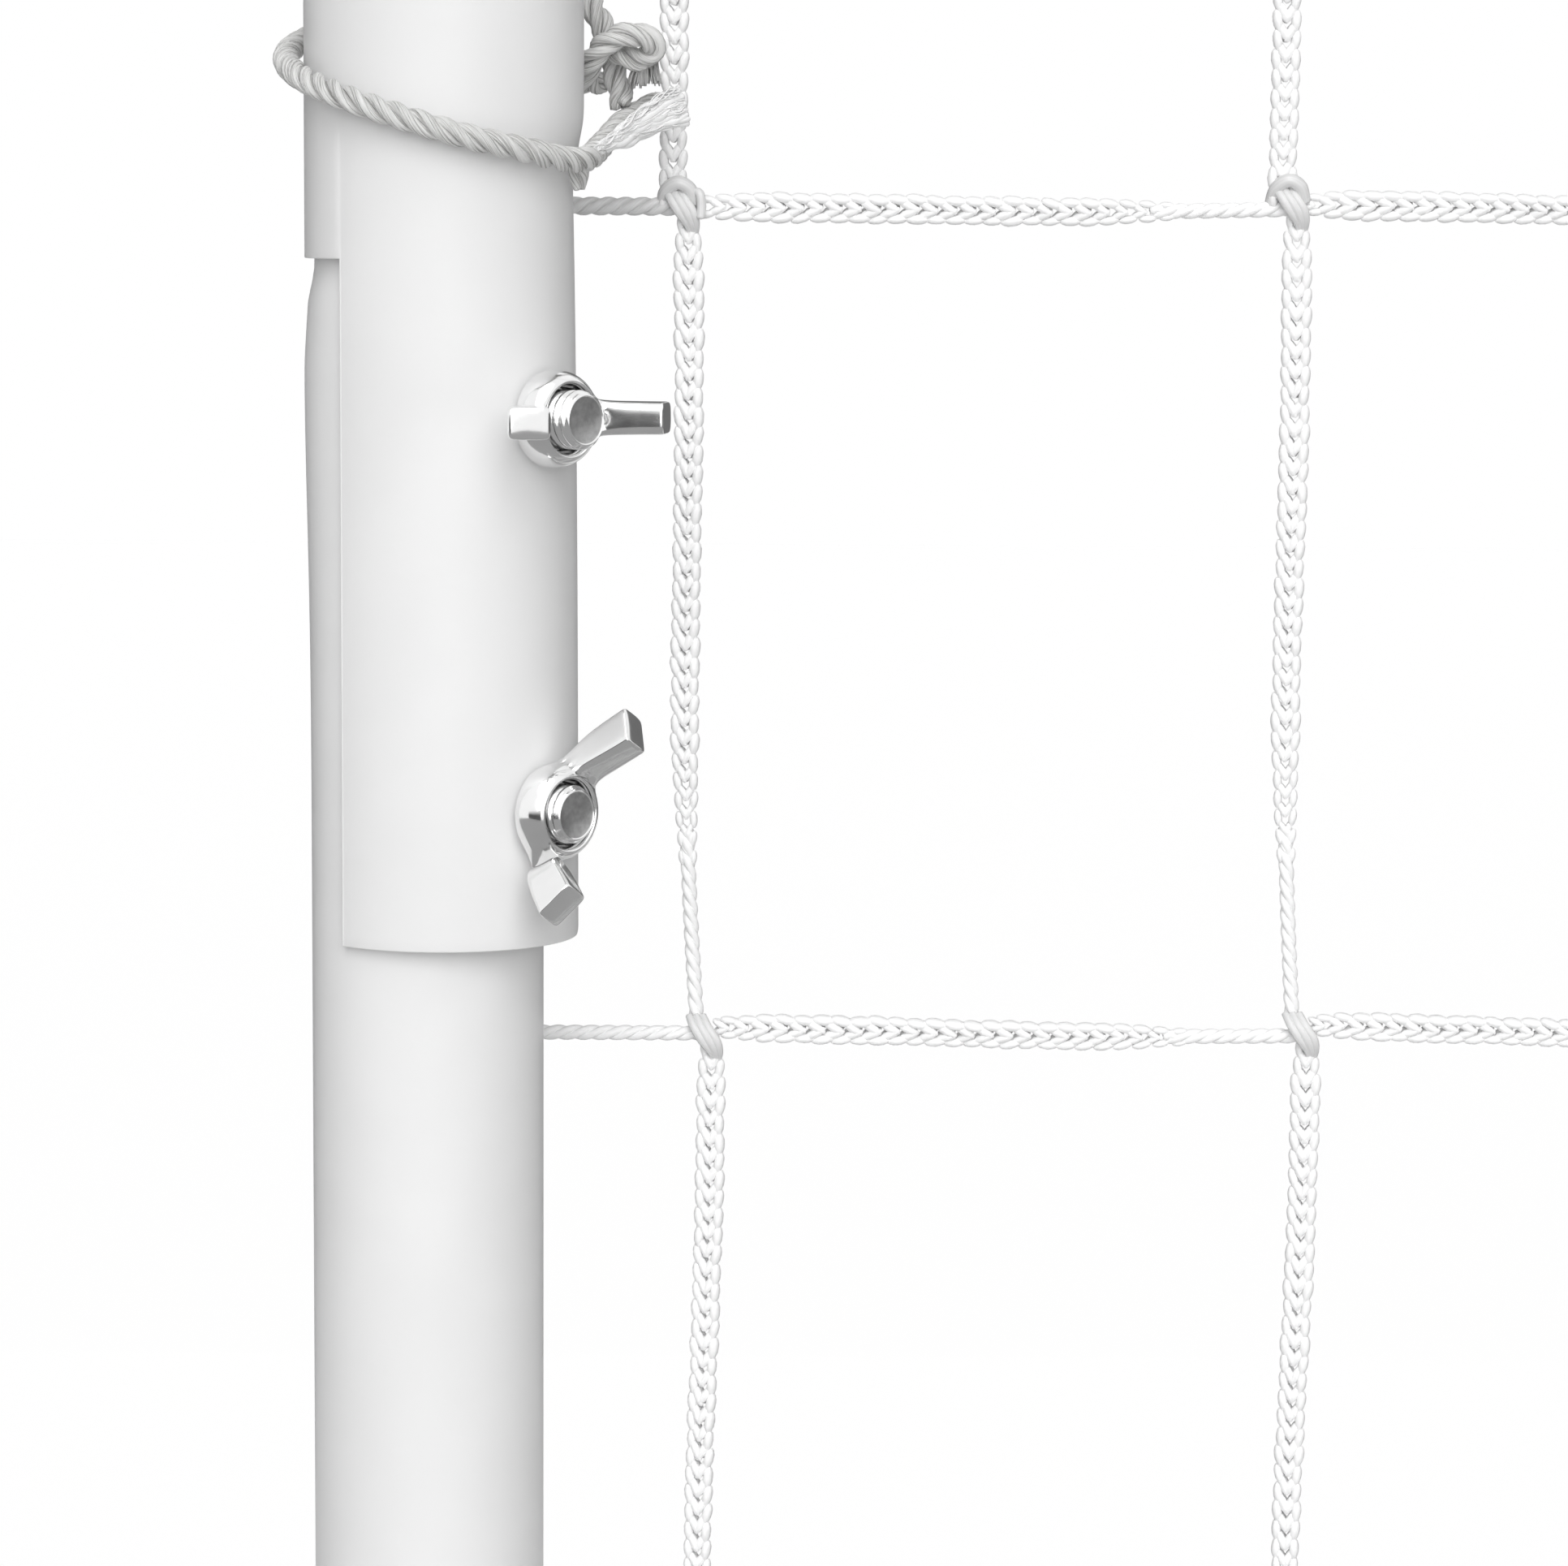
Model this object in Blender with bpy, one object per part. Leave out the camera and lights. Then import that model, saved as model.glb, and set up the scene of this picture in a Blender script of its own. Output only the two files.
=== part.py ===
"""A volleyball net on two bolted tube poles with a floor frame, at real size.

Metres, +Z up, X along the net, Y across it with the front at -Y. The origin is on the floor,
halfway between the poles. Each pole is a lower and a middle tube, and an upper tube that slides
over the middle one and is clamped by two bolts with wing nuts. The net hangs between head and
foot ropes that are wound round the poles, and a twisted rope lashes it to each upper tube.
"""

import math

import bmesh
import bpy
from mathutils import Matrix, Vector

# Net
COLUMNS = 30
ROWS = 6
MESH_WIDTH = 0.103
MESH_HEIGHT = 0.141
CORD_WIDTH = 0.0042
CORD_DEPTH = 0.0036
NET_TOP = 2.240
NET_BACK = 0.0262  # how far the net's plane lies behind the pole axes
NET_SIDE_GAP = 0.033  # from a pole's axis to the net's first upright cord, before it bows in
SIDE_BOW = 0.0125  # how far the net's sides are drawn in at mid height
END_DROP = 0.0013  # how much lower a row's end hangs than its next crossing

# Poles
POLE_X = COLUMNS * MESH_WIDTH / 2 + NET_SIDE_GAP
WALL = 0.0015
SLEEVE_WALL = 0.0012
UPPER_RADIUS = 0.02275
LOWER_RADIUS = 0.01915
AXIS_OFFSET = -0.00293  # the lower tubes sit against the outer side of the upper tube's bore
NECK_RADIUS = 0.0182  # the middle tube's drawn-in end, inside the upper tube
SPIGOT_RADIUS = 0.0169
SPIGOT_LENGTH = 0.10
POLE_SPLIT = 1.10
GAP = 0.0003

# Heights on the pole, counted from the net's second row of crossings
ROW_1 = NET_TOP - MESH_HEIGHT
SLEEVE_CUT = ROW_1 - 0.010
TONGUE_END = ROW_1 - 0.1212
UPPER_BOLT = ROW_1 - 0.0353
LOWER_BOLT = ROW_1 - 0.0990
PINCH_START = ROW_1 + 0.015
BULGE_HEIGHT = ROW_1 - 0.029
UPPER_TOP = 2.310
MIDDLE_TOP = 2.283
HEIGHT_TRAVEL = 0.19

# Directions round a pole: 0 points to the net's middle, 90 to the back, -90 to the front
BOLT_TURN = math.radians(-41)
TONGUE_OUTER_EDGE = math.radians(226)
TONGUE_INNER_EDGE = math.radians(12)
TONGUE_CORNER = 0.008

# Bolts and wing nuts, along the bolt from the upper tube's axis
SHANK_RADIUS = 0.0048
HOLE_RADIUS = 0.0052
END_CHAMFER = 0.0008
HEAD_RADIUS = 0.0082
HEAD_START = 0.0072
HEAD_END = 0.0104
UPPER_BOLT_END = 0.0319
LOWER_BOLT_END = 0.0300
NUT_SEAT = 0.02305
HUB_RADIUS = 0.0078
HUB_HEIGHT = 0.0056
NUT_BORE = 0.0053
RECESS_DEPTH = 0.0036
WING_THICKNESS = 0.0051
# Each station of a wing is its reach from the bolt, its height, its depth and its lean
WING_STATIONS = (
    (0.0062, 0.0030, 0.0050, math.radians(31)),
    (0.0121, 0.0074, 0.0064, math.radians(42)),
    (0.0159, 0.0117, 0.0066, math.radians(58)),
)
UPPER_NUT_TURN = math.radians(0)
LOWER_NUT_TURN = math.radians(58)
BASE_NUT_TURN = math.radians(20)

# Base
FOOT_AXIS = 0.0255
FOOT_LENGTH = 0.90
CAP_RADIUS = 0.027
CAP_LENGTH = 0.050
CAP_WALL = 0.006
SOCKET_TOP = 0.240
SOCKET_FLOOR = 0.052
SOCKET_ARM = 0.120
SOCKET_BORE = LOWER_RADIUS + 0.0004
RAIL_START = 0.030
COUPLER_LENGTH = 0.200
BASE_BOLT = 0.180
BASE_BOLT_END = 0.0330
BASE_HEAD_END = 0.0149

# Ropes
ROPE_RADIUS = 0.0021
WIND_GAP = 0.00045  # between a rope and the tube that it goes round
WIND_DROP = 0.0062
WIND_STEP = math.radians(22)
SIDE_ROPE_X = 0.0100

WHITE_PAINT = ((0.90, 0.90, 0.90, 1.0), 0.28, 0.0)
BRIGHT_ZINC = ((0.72, 0.72, 0.73, 1.0), 0.18, 1.0)
GREY_RUBBER = ((0.09, 0.09, 0.09, 1.0), 0.75, 0.0)
WHITE_PLASTIC = ((0.84, 0.84, 0.84, 1.0), 0.40, 0.0)
NET_CORD = ((0.88, 0.88, 0.88, 1.0), 0.65, 0.0)
TWISTED_ROPE = ((0.74, 0.74, 0.73, 1.0), 0.80, 0.0)

SIDES = {"left": 1, "right": -1}  # the sign turns a place on the left pole into one on the right


def clear_scene():
    for item in list(bpy.data.objects):
        bpy.data.objects.remove(item, do_unlink=True)


def new_material(name, look):
    colour, roughness, metallic = look
    material = bpy.data.materials.new(name)
    material.use_nodes = True
    shader = material.node_tree.nodes["Principled BSDF"]
    shader.inputs["Base Color"].default_value = colour
    shader.inputs["Roughness"].default_value = roughness
    shader.inputs["Metallic"].default_value = metallic
    material.diffuse_color = colour
    return material


def add_object(name, mesh, look=None):
    item = bpy.data.objects.new(name, mesh)
    bpy.context.collection.objects.link(item)
    if look:
        item.data.materials.append(new_material(name, look))
    return item


def make_mesh(name, points, faces, flip=False):
    """A mesh with its faces pointing out, shaded smooth apart from its sharp edges."""
    mesh = bpy.data.meshes.new(name)
    if flip:
        points = [(-x, y, z) for x, y, z in points]
    mesh.from_pydata(points, [], faces)
    shape = bmesh.new()
    shape.from_mesh(mesh)
    bmesh.ops.recalc_face_normals(shape, faces=shape.faces)
    shape.to_mesh(mesh)
    shape.free()
    mesh.shade_smooth()
    mesh.set_sharp_from_angle(angle=math.radians(35))
    return mesh


def turned(profile, segments, bump=None):
    """Points and faces of a profile of (radius, height) turned about Z.

    A profile whose ends lie on the axis closes there. Any other profile is a closed loop.
    bump(turn, height) is added to the radius.
    """
    points = []
    rings = []
    for radius, height in profile:
        if radius == 0:
            rings.append([len(points)])
            points.append((0.0, 0.0, height))
            continue
        ring = []
        for step in range(segments):
            turn = 2 * math.pi * step / segments
            reach = radius + (bump(turn, height) if bump else 0.0)
            ring.append(len(points))
            points.append((reach * math.cos(turn), reach * math.sin(turn), height))
        rings.append(ring)
    on_axis = profile[0][0] == 0
    pairs = list(zip(rings, rings[1:]))
    if not on_axis:
        pairs.append((rings[-1], rings[0]))
    faces = []
    for low, high in pairs:
        for step in range(segments):
            after = (step + 1) % segments
            if len(low) == 1:
                faces.append((low[0], high[step], high[after]))
            elif len(high) == 1:
                faces.append((low[step], high[0], low[after]))
            else:
                faces.append((low[step], high[step], high[after], low[after]))
    return points, faces


def prism(outline, start, end):
    """Points and faces of a flat outline, of (across, up), drawn out along Y."""
    count = len(outline)
    points = [(a, start, b) for a, b in outline] + [(a, end, b) for a, b in outline]
    faces = [tuple(range(count)), tuple(range(2 * count - 1, count - 1, -1))]
    for step in range(count):
        after = (step + 1) % count
        faces.append((step, after, count + after, count + step))
    return points, faces


def cut_with(item, points, faces, place=None, flip=False, operation="DIFFERENCE"):
    """Adds a Boolean to item, with a hidden cutter made of the points and faces."""
    cutter = add_object(item.name + "_cutter", make_mesh(item.name + "_cutter", points, faces, flip))
    cutter.matrix_world = place if place else item.matrix_world.copy()
    cutter.hide_render = True
    cutter.display_type = "WIRE"
    boolean = item.modifiers.new("cut", "BOOLEAN")
    boolean.operation = operation
    boolean.object = cutter
    boolean.solver = "EXACT"


def pole_place(sign, height=0.0, offset=0.0):
    """On a pole's axis. offset is towards the net's middle."""
    return Matrix.Translation((sign * (offset - POLE_X), 0.0, height))


def bolt_place(sign, height, offset=0.0, along=0.0, spin=0.0):
    """A frame whose Z runs out along a bolt. Its X is level, and spin turns it about Z."""
    out = Vector((sign * math.cos(BOLT_TURN), math.sin(BOLT_TURN), 0.0))
    level = Vector((-math.sin(BOLT_TURN) * sign, math.cos(BOLT_TURN), 0.0))
    up = out.cross(level)
    turn = Matrix((level, up, out)).transposed().to_4x4()
    corner = pole_place(sign, height, offset).translation + out * along
    return Matrix.Translation(corner) @ turn @ Matrix.Rotation(spin, 4, "Z")


def turn_from(turn, centre):
    """How far round turn is from centre, from -pi to pi."""
    return math.remainder(turn - centre, 2 * math.pi)


def smooth_step(value):
    value = min(1.0, max(0.0, value))
    return value * value * (3 - 2 * value)


# Poles


def pinch(turn, height):
    """The upper tube is pressed in on its inner side, most just above the cut."""
    top = ROW_1 + 0.0005
    if height >= PINCH_START:
        depth = 0.0
    elif height > top:
        depth = 0.0016 * smooth_step((PINCH_START - height) / (PINCH_START - top))
    else:
        depth = 0.0005 + 0.0011 * math.exp((height - top) / 0.05)
    return -depth * math.exp(-((turn_from(turn, 0.0) / math.radians(38)) ** 2))


def bulge(turn, height):
    """The middle tube swells on its outer side, just below the end of the sleeve."""
    distance = height - BULGE_HEIGHT
    spread = 0.010 if distance > 0 else 0.032
    size = 0.0008 * math.exp(-((distance / spread) ** 2))
    return size * math.exp(-((turn_from(turn, math.pi) / math.radians(30)) ** 2))


def tube_profile(radius, wall, bottom, top):
    return [(radius, bottom), (radius, top), (radius - wall, top), (radius - wall, bottom)]


def add_tube(name, radius, bottom, top, place, segments=24):
    points, faces = turned(tube_profile(radius, WALL, bottom, top), segments)
    item = add_object(name, make_mesh(name, points, faces), WHITE_PAINT)
    item.matrix_world = place
    return item


def tongue_cutter():
    """All of the sleeve's end apart from the tongue, as a sector of a thick ring."""
    inner, outer = 0.018, 0.026
    low = TONGUE_END - 0.003
    corner_turn = TONGUE_CORNER / UPPER_RADIUS
    columns = []
    for step in range(5):
        share = step / 4
        height = TONGUE_END + TONGUE_CORNER * (1 - math.sqrt(1 - share * share))
        columns.append((TONGUE_INNER_EDGE - corner_turn * (1 - share), [low, height]))
    columns[-1][1].append(SLEEVE_CUT)
    steps = 20
    for step in range(1, steps + 1):
        turn = TONGUE_INNER_EDGE + (TONGUE_OUTER_EDGE - TONGUE_INNER_EDGE) * step / steps
        columns.append((turn, [low, SLEEVE_CUT]))
    points = []
    faces = []
    numbers = []
    for turn, heights in columns:
        column = []
        for height in heights:
            column.append(len(points))
            for radius in (outer, inner):
                points.append((radius * math.cos(turn), radius * math.sin(turn), height - TONGUE_END))
        numbers.append(column)
    for index in range(len(columns) - 1):
        left = numbers[index]
        right = numbers[index + 1]
        if index < 4:
            right = right[:2]
        loop = left + right[::-1]
        faces.append(tuple(loop))
        faces.append(tuple(number + 1 for number in loop[::-1]))
    edges = {}
    for face in faces[::2]:
        for a, b in zip(face, face[1:] + face[:1]):
            edges[frozenset((a, b))] = (a, b) if frozenset((a, b)) not in edges else None
    for pair in edges.values():
        if pair:
            a, b = pair
            faces.append((a, b, b + 1, a + 1))
    return points, faces


def add_upper_tube(side, sign):
    """The sliding sleeve, cut away below so that a tongue with two bolt holes is left."""
    heights = [TONGUE_END, ROW_1 - 0.080, ROW_1 - 0.040, ROW_1 - 0.018, ROW_1 + 0.0005]
    heights += [ROW_1 + 0.0075, PINCH_START, UPPER_TOP]
    profile = [(UPPER_RADIUS, height) for height in heights]
    profile += [(UPPER_RADIUS - SLEEVE_WALL, height) for height in reversed(heights)]
    profile = [(radius, height - TONGUE_END) for radius, height in profile]
    points, faces = turned(profile, 40, lambda turn, height: pinch(turn, height + TONGUE_END))
    item = add_object(side + "_upper_tube", make_mesh(side, points, faces, sign < 0), WHITE_PAINT)
    item.matrix_world = pole_place(sign, TONGUE_END)
    points, faces = tongue_cutter()
    cut_with(item, points, faces, flip=sign < 0)
    for height in (UPPER_BOLT, LOWER_BOLT):
        hole = [(0, 0.010), (HOLE_RADIUS, 0.010), (HOLE_RADIUS, 0.030), (0, 0.030)]
        cut_with(item, *turned(hole, 16), place=bolt_place(sign, height))


def slot_outline(length):
    """Outline of a slot from its round lower end at the origin, open at its top."""
    outline = [(HOLE_RADIUS, length)]
    for step in range(9):
        turn = -math.pi * step / 8
        outline.append((HOLE_RADIUS * math.cos(turn), HOLE_RADIUS * math.sin(turn)))
    outline.append((-HOLE_RADIUS, length))
    return outline


def add_middle_tube(side, sign):
    """Its spigot plugs into the lower tube, and the bolts run in a slot from its top down."""
    shoulder = POLE_SPLIT + GAP
    neck = SLEEVE_CUT - 0.004
    outer = [(SPIGOT_RADIUS, POLE_SPLIT - SPIGOT_LENGTH), (SPIGOT_RADIUS, shoulder)]
    outer += [(LOWER_RADIUS, shoulder), (LOWER_RADIUS, ROW_1 - 0.10)]
    outer += [(LOWER_RADIUS, ROW_1 - 0.065), (LOWER_RADIUS, BULGE_HEIGHT)]
    outer += [(LOWER_RADIUS - 0.0001, neck - 0.004), (NECK_RADIUS, neck + 0.003), (NECK_RADIUS, MIDDLE_TOP)]
    inner = [(NECK_RADIUS - WALL, MIDDLE_TOP), (NECK_RADIUS - WALL, neck), (LOWER_RADIUS - WALL, neck - 0.006)]
    inner += [(LOWER_RADIUS - WALL, shoulder + 0.004), (SPIGOT_RADIUS - WALL, shoulder - 0.004)]
    inner += [(SPIGOT_RADIUS - WALL, POLE_SPLIT - SPIGOT_LENGTH)]
    points, faces = turned(outer + inner, 40, bulge)
    name = side + "_middle_tube"
    item = add_object(name, make_mesh(name, points, faces, sign < 0), WHITE_PAINT)
    item.matrix_world = pole_place(sign, 0.0, AXIS_OFFSET)
    points, faces = prism(slot_outline(MIDDLE_TOP - LOWER_BOLT + 0.010), 0.006, 0.030)
    out = Matrix.Rotation(BOLT_TURN - math.pi / 2, 4, "Z")
    if sign < 0:
        out = Matrix.Rotation(math.pi / 2 - BOLT_TURN, 4, "Z")
    cut_with(item, points, faces, place=pole_place(sign, LOWER_BOLT) @ out)


def add_top_cap(side, sign):
    """A plastic cap with a plug that closes the upper tube."""
    bore = UPPER_RADIUS - SLEEVE_WALL - 0.0004
    top = UPPER_TOP + GAP
    profile = [(0, top - 0.012), (bore - 0.001, top - 0.012), (bore, top - 0.010), (bore, top)]
    profile += [(UPPER_RADIUS + 0.0005, top), (UPPER_RADIUS + 0.0005, top + 0.003)]
    profile += [(UPPER_RADIUS - 0.003, top + 0.0055), (0, top + 0.007)]
    name = side + "_top_cap"
    item = add_object(name, make_mesh(name, *turned(profile, 24)), WHITE_PLASTIC)
    item.matrix_world = pole_place(sign)


# Bolts and wing nuts


def add_bolt(name, sign, height, end, head_end=HEAD_END, offset=0.0):
    """Its flat head lies inside the inner tube, and its end comes out through the wing nut."""
    head_start = head_end - HEAD_END + HEAD_START
    profile = [(0, head_start), (HEAD_RADIUS * 0.75, head_start + 0.0006)]
    profile += [(HEAD_RADIUS, head_end - 0.0010), (HEAD_RADIUS, head_end), (SHANK_RADIUS, head_end)]
    profile += [(SHANK_RADIUS, end - END_CHAMFER), (SHANK_RADIUS - END_CHAMFER, end), (0, end)]
    item = add_object(name, make_mesh(name, *turned(profile, 14)), BRIGHT_ZINC)
    item.matrix_world = bolt_place(sign, height, offset)


def wing_block(sign):
    """A wing, which leans out from the hub as it widens."""
    points = []
    for reach, height, depth, lean in WING_STATIONS:
        for across, up in ((-1, -1), (1, -1), (1, 1), (-1, 1)):
            along = reach - up * depth / 2 * math.sin(lean)
            rise = height + up * depth / 2 * math.cos(lean)
            points.append((sign * along, across * WING_THICKNESS / 2, rise))
    faces = [(0, 1, 2, 3), (11, 10, 9, 8)]
    for ring in (0, 4):
        for corner in range(4):
            after = (corner + 1) % 4
            faces.append((ring + corner, ring + after, ring + 4 + after, ring + 4 + corner))
    return points, faces


def wing_nut_mesh():
    """A domed hub with a recess round the bolt's end, and two wings."""
    top = HUB_HEIGHT
    floor = HUB_HEIGHT - RECESS_DEPTH
    profile = [(NUT_BORE, 0.0), (HUB_RADIUS - 0.0003, 0.0), (HUB_RADIUS, 0.0012), (HUB_RADIUS - 0.0003, 0.0032)]
    profile += [(HUB_RADIUS - 0.0010, top - 0.0007), (HUB_RADIUS - 0.0016, top), (NUT_BORE + 0.0004, top)]
    profile += [(NUT_BORE + 0.0002, floor), (NUT_BORE, floor)]
    hub = add_object("hub_guide", make_mesh("hub_guide", *turned(profile, 20)))
    for sign in (1, -1):
        cut_with(hub, *wing_block(sign), operation="UNION")
    bore = [(0, -0.001), (NUT_BORE, -0.001), (NUT_BORE, 0.016), (0, 0.016)]
    cut_with(hub, *turned(bore, 20))
    bpy.context.view_layer.update()
    graph = bpy.context.evaluated_depsgraph_get()
    mesh = bpy.data.meshes.new_from_object(hub.evaluated_get(graph))
    for guide in [item for item in bpy.data.objects if item.name.startswith(hub.name)]:
        bpy.data.objects.remove(guide, do_unlink=True)
    return mesh


def add_wing_nut(name, mesh, sign, height, spin, along=NUT_SEAT, offset=0.0):
    item = add_object(name, mesh.copy(), BRIGHT_ZINC)
    item.matrix_world = bolt_place(sign, height, offset, along, sign * spin)


# Base


def lying_along(axis):
    """Turns a piece made along Z so that it lies along X or Y."""
    if axis == "X":
        return Matrix.Rotation(math.pi / 2, 4, "Y")
    return Matrix.Rotation(-math.pi / 2, 4, "X")


def add_base_socket(side, sign):
    """One casting that holds the pole, the foot tube and the floor rail."""
    centre = pole_place(sign, FOOT_AXIS, AXIS_OFFSET)
    inward = Matrix.Rotation(sign * math.pi / 2, 4, "Y")
    upright = [(0, 0.0), (UPPER_RADIUS, 0.0), (UPPER_RADIUS, SOCKET_TOP - FOOT_AXIS), (0, SOCKET_TOP - FOOT_AXIS)]
    name = side + "_base_socket"
    item = add_object(name, make_mesh(name, *turned(upright, 24)), WHITE_PAINT)
    item.matrix_world = centre
    half = SOCKET_ARM / 2
    across = [(0, -half), (UPPER_RADIUS, -half), (UPPER_RADIUS, half), (0, half)]
    cut_with(item, *turned(across, 24), place=centre @ lying_along("Y"), operation="UNION")
    arm = [(0, 0.0), (UPPER_RADIUS, 0.0), (UPPER_RADIUS, SOCKET_ARM), (0, SOCKET_ARM)]
    cut_with(item, *turned(arm, 24), place=centre @ inward, operation="UNION")
    bore = [(0, -0.2), (SOCKET_BORE, -0.2), (SOCKET_BORE, 0.2), (0, 0.2)]
    cut_with(item, *turned(bore, 24), place=centre @ lying_along("Y"))
    floor = SOCKET_FLOOR - FOOT_AXIS
    bore = [(0, floor), (SOCKET_BORE, floor), (SOCKET_BORE, 0.3), (0, 0.3)]
    cut_with(item, *turned(bore, 24), place=centre)
    bore = [(0, RAIL_START - 0.004), (SOCKET_BORE, RAIL_START - 0.004), (SOCKET_BORE, 0.3), (0, 0.3)]
    cut_with(item, *turned(bore, 24), place=centre @ inward)
    hole = [(0, 0.010), (HOLE_RADIUS, 0.010), (HOLE_RADIUS, 0.030), (0, 0.030)]
    cut_with(item, *turned(hole, 16), place=bolt_place(sign, BASE_BOLT, AXIS_OFFSET))


def add_foot(side, sign):
    centre = pole_place(sign, FOOT_AXIS, AXIS_OFFSET)
    half = FOOT_LENGTH / 2
    add_tube(side + "_foot_tube", LOWER_RADIUS, -half, half, centre @ lying_along("Y"))
    bore = LOWER_RADIUS + 0.0004
    start = half - CAP_LENGTH + CAP_WALL
    profile = [(CAP_RADIUS, start), (CAP_RADIUS, start + CAP_LENGTH - 0.003), (CAP_RADIUS - 0.003, start + CAP_LENGTH)]
    profile = [(0, half + GAP), (bore, half + GAP), (bore, start)] + profile + [(0, start + CAP_LENGTH)]
    for end, turn in (("front", 1), ("back", -1)):
        name = side + "_foot_cap_" + end
        item = add_object(name, make_mesh(name, *turned(profile, 24)), GREY_RUBBER)
        item.matrix_world = centre @ Matrix.Rotation(turn * math.pi / 2, 4, "X")
        reach = 1.0
        box = [(-reach, -reach), (reach, -reach), (reach, 0.0), (-reach, 0.0)]
        cut_with(item, *prism(box, -reach, reach), place=Matrix.Translation((sign * -POLE_X, 0, 0)))


def add_rail():
    start = POLE_X - AXIS_OFFSET - RAIL_START
    for side, sign in SIDES.items():
        place = Matrix.Translation((0, 0, FOOT_AXIS)) @ Matrix.Rotation(-sign * math.pi / 2, 4, "Y")
        add_tube(side + "_floor_rail", LOWER_RADIUS, GAP / 2, start, place)
    radius = LOWER_RADIUS + 0.0004 + WALL
    half = COUPLER_LENGTH / 2
    place = Matrix.Translation((0, 0, FOOT_AXIS)) @ lying_along("X")
    add_tube("rail_coupler", radius, -half, half, place)


def add_lower_tube(side, sign):
    bottom = SOCKET_FLOOR + GAP
    item = add_tube(side + "_lower_tube", LOWER_RADIUS, bottom, POLE_SPLIT, pole_place(sign, 0, AXIS_OFFSET))
    hole = [(0, 0.010), (HOLE_RADIUS, 0.010), (HOLE_RADIUS, 0.030), (0, 0.030)]
    cut_with(item, *turned(hole, 16), place=bolt_place(sign, BASE_BOLT, AXIS_OFFSET))


# Net and ropes


def crossing(column, row):
    """Where two net cords cross, as (x, z)."""
    share = 2 * column / COLUMNS - 1
    bow = SIDE_BOW * math.sin(math.pi * row / ROWS)
    end = min(column, COLUMNS - column)
    height = NET_TOP - row * MESH_HEIGHT - END_DROP * math.exp(-1.4 * end)
    return share * (COLUMNS * MESH_WIDTH / 2 - bow), height


def add_net():
    """One sheet of meshes, with a short end of each inner row that reaches behind the poles."""
    half = CORD_WIDTH / 2
    points = []
    faces = []

    def corner(x, z):
        points.append((x, NET_BACK - CORD_DEPTH / 2, z))
        points.append((x, NET_BACK + CORD_DEPTH / 2, z))
        return len(points) - 2

    blocks = {}
    for column in range(COLUMNS + 1):
        for row in range(ROWS + 1):
            x, z = crossing(column, row)
            places = ((-half, -half), (half, -half), (half, half), (-half, half))
            blocks[column, row] = [corner(x + a, z + b) for a, b in places]

    def strip(a, b, c, d):
        """A run of cord between two edges. It adds the front, the back and the two long sides."""
        faces.append((a, b, c, d))
        faces.append((d + 1, c + 1, b + 1, a + 1))
        faces.append((a, a + 1, b + 1, b))
        faces.append((c, c + 1, d + 1, d))

    for (column, row), (low_left, low_right, high_right, high_left) in blocks.items():
        faces.append((low_left, low_right, high_right, high_left))
        faces.append((high_left + 1, high_right + 1, low_right + 1, low_left + 1))
        right = blocks.get((column + 1, row))
        below = blocks.get((column, row + 1))
        if right:
            strip(low_right, right[0], right[3], high_right)
        if below:
            strip(below[3], low_left, low_right, below[2])
        if row == 0:
            faces.append((high_left, high_right, high_right + 1, high_left + 1))
        if row == ROWS:
            faces.append((low_left, low_left + 1, low_right + 1, low_right))
        for edge, low, high, sign in ((0, low_left, high_left, 1), (COLUMNS, low_right, high_right, -1)):
            if column != edge:
                continue
            if row in (0, ROWS):
                faces.append((low, low + 1, high + 1, high))
                continue
            end = sign * (SIDE_ROPE_X + ROPE_RADIUS + GAP - POLE_X)
            height = crossing(column, row)[1]
            end_low = corner(end, height - half)
            end_high = corner(end, height + half)
            strip(end_low, low, high, end_high)
            faces.append((end_low, end_high, end_high + 1, end_low + 1))
    mesh = make_mesh("net", points, faces)
    add_object("net", mesh, NET_CORD)


def add_rope(name, places, look=TWISTED_ROPE):
    """A tube along the places, as a curve with filled caps."""
    curve = bpy.data.curves.new(name, "CURVE")
    curve.dimensions = "3D"
    spline = curve.splines.new("POLY")
    spline.points.add(len(places) - 1)
    for point, place in zip(spline.points, places):
        point.co = (*place, 1.0)
    curve.bevel_depth = ROPE_RADIUS
    curve.bevel_resolution = 2
    curve.use_fill_caps = True
    return add_object(name, curve, look)


def wound_end(radius, offset, height):
    """A rope's end that comes from the net's middle and goes once round a pole, on the left."""
    places = []
    for step in range(4):
        share = step / 4
        x = 0.060 + (offset - 0.060) * share
        y = NET_BACK + (radius - NET_BACK) * smooth_step(share)
        places.append((x, y, height))
    turns = math.radians(338)
    steps = round(turns / WIND_STEP)
    for step in range(steps + 1):
        turn = turns * step / steps
        x = offset + radius * math.cos(math.pi / 2 + turn)
        y = radius * math.sin(math.pi / 2 + turn)
        places.append((x, y, height - WIND_DROP * step / steps))
    return places


def add_edge_rope(name, radius, offset, height):
    """The rope along the top or the bottom of the net, wound round both poles."""
    left = [(x - POLE_X, y, z) for x, y, z in wound_end(radius, offset, height)]
    right = [(-x, y, z) for x, y, z in left]
    inner = POLE_X - 0.20
    middle = [(inner * (step / 4 - 1), NET_BACK, height) for step in range(9)]
    add_rope(name, left[::-1] + middle + right)


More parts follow.
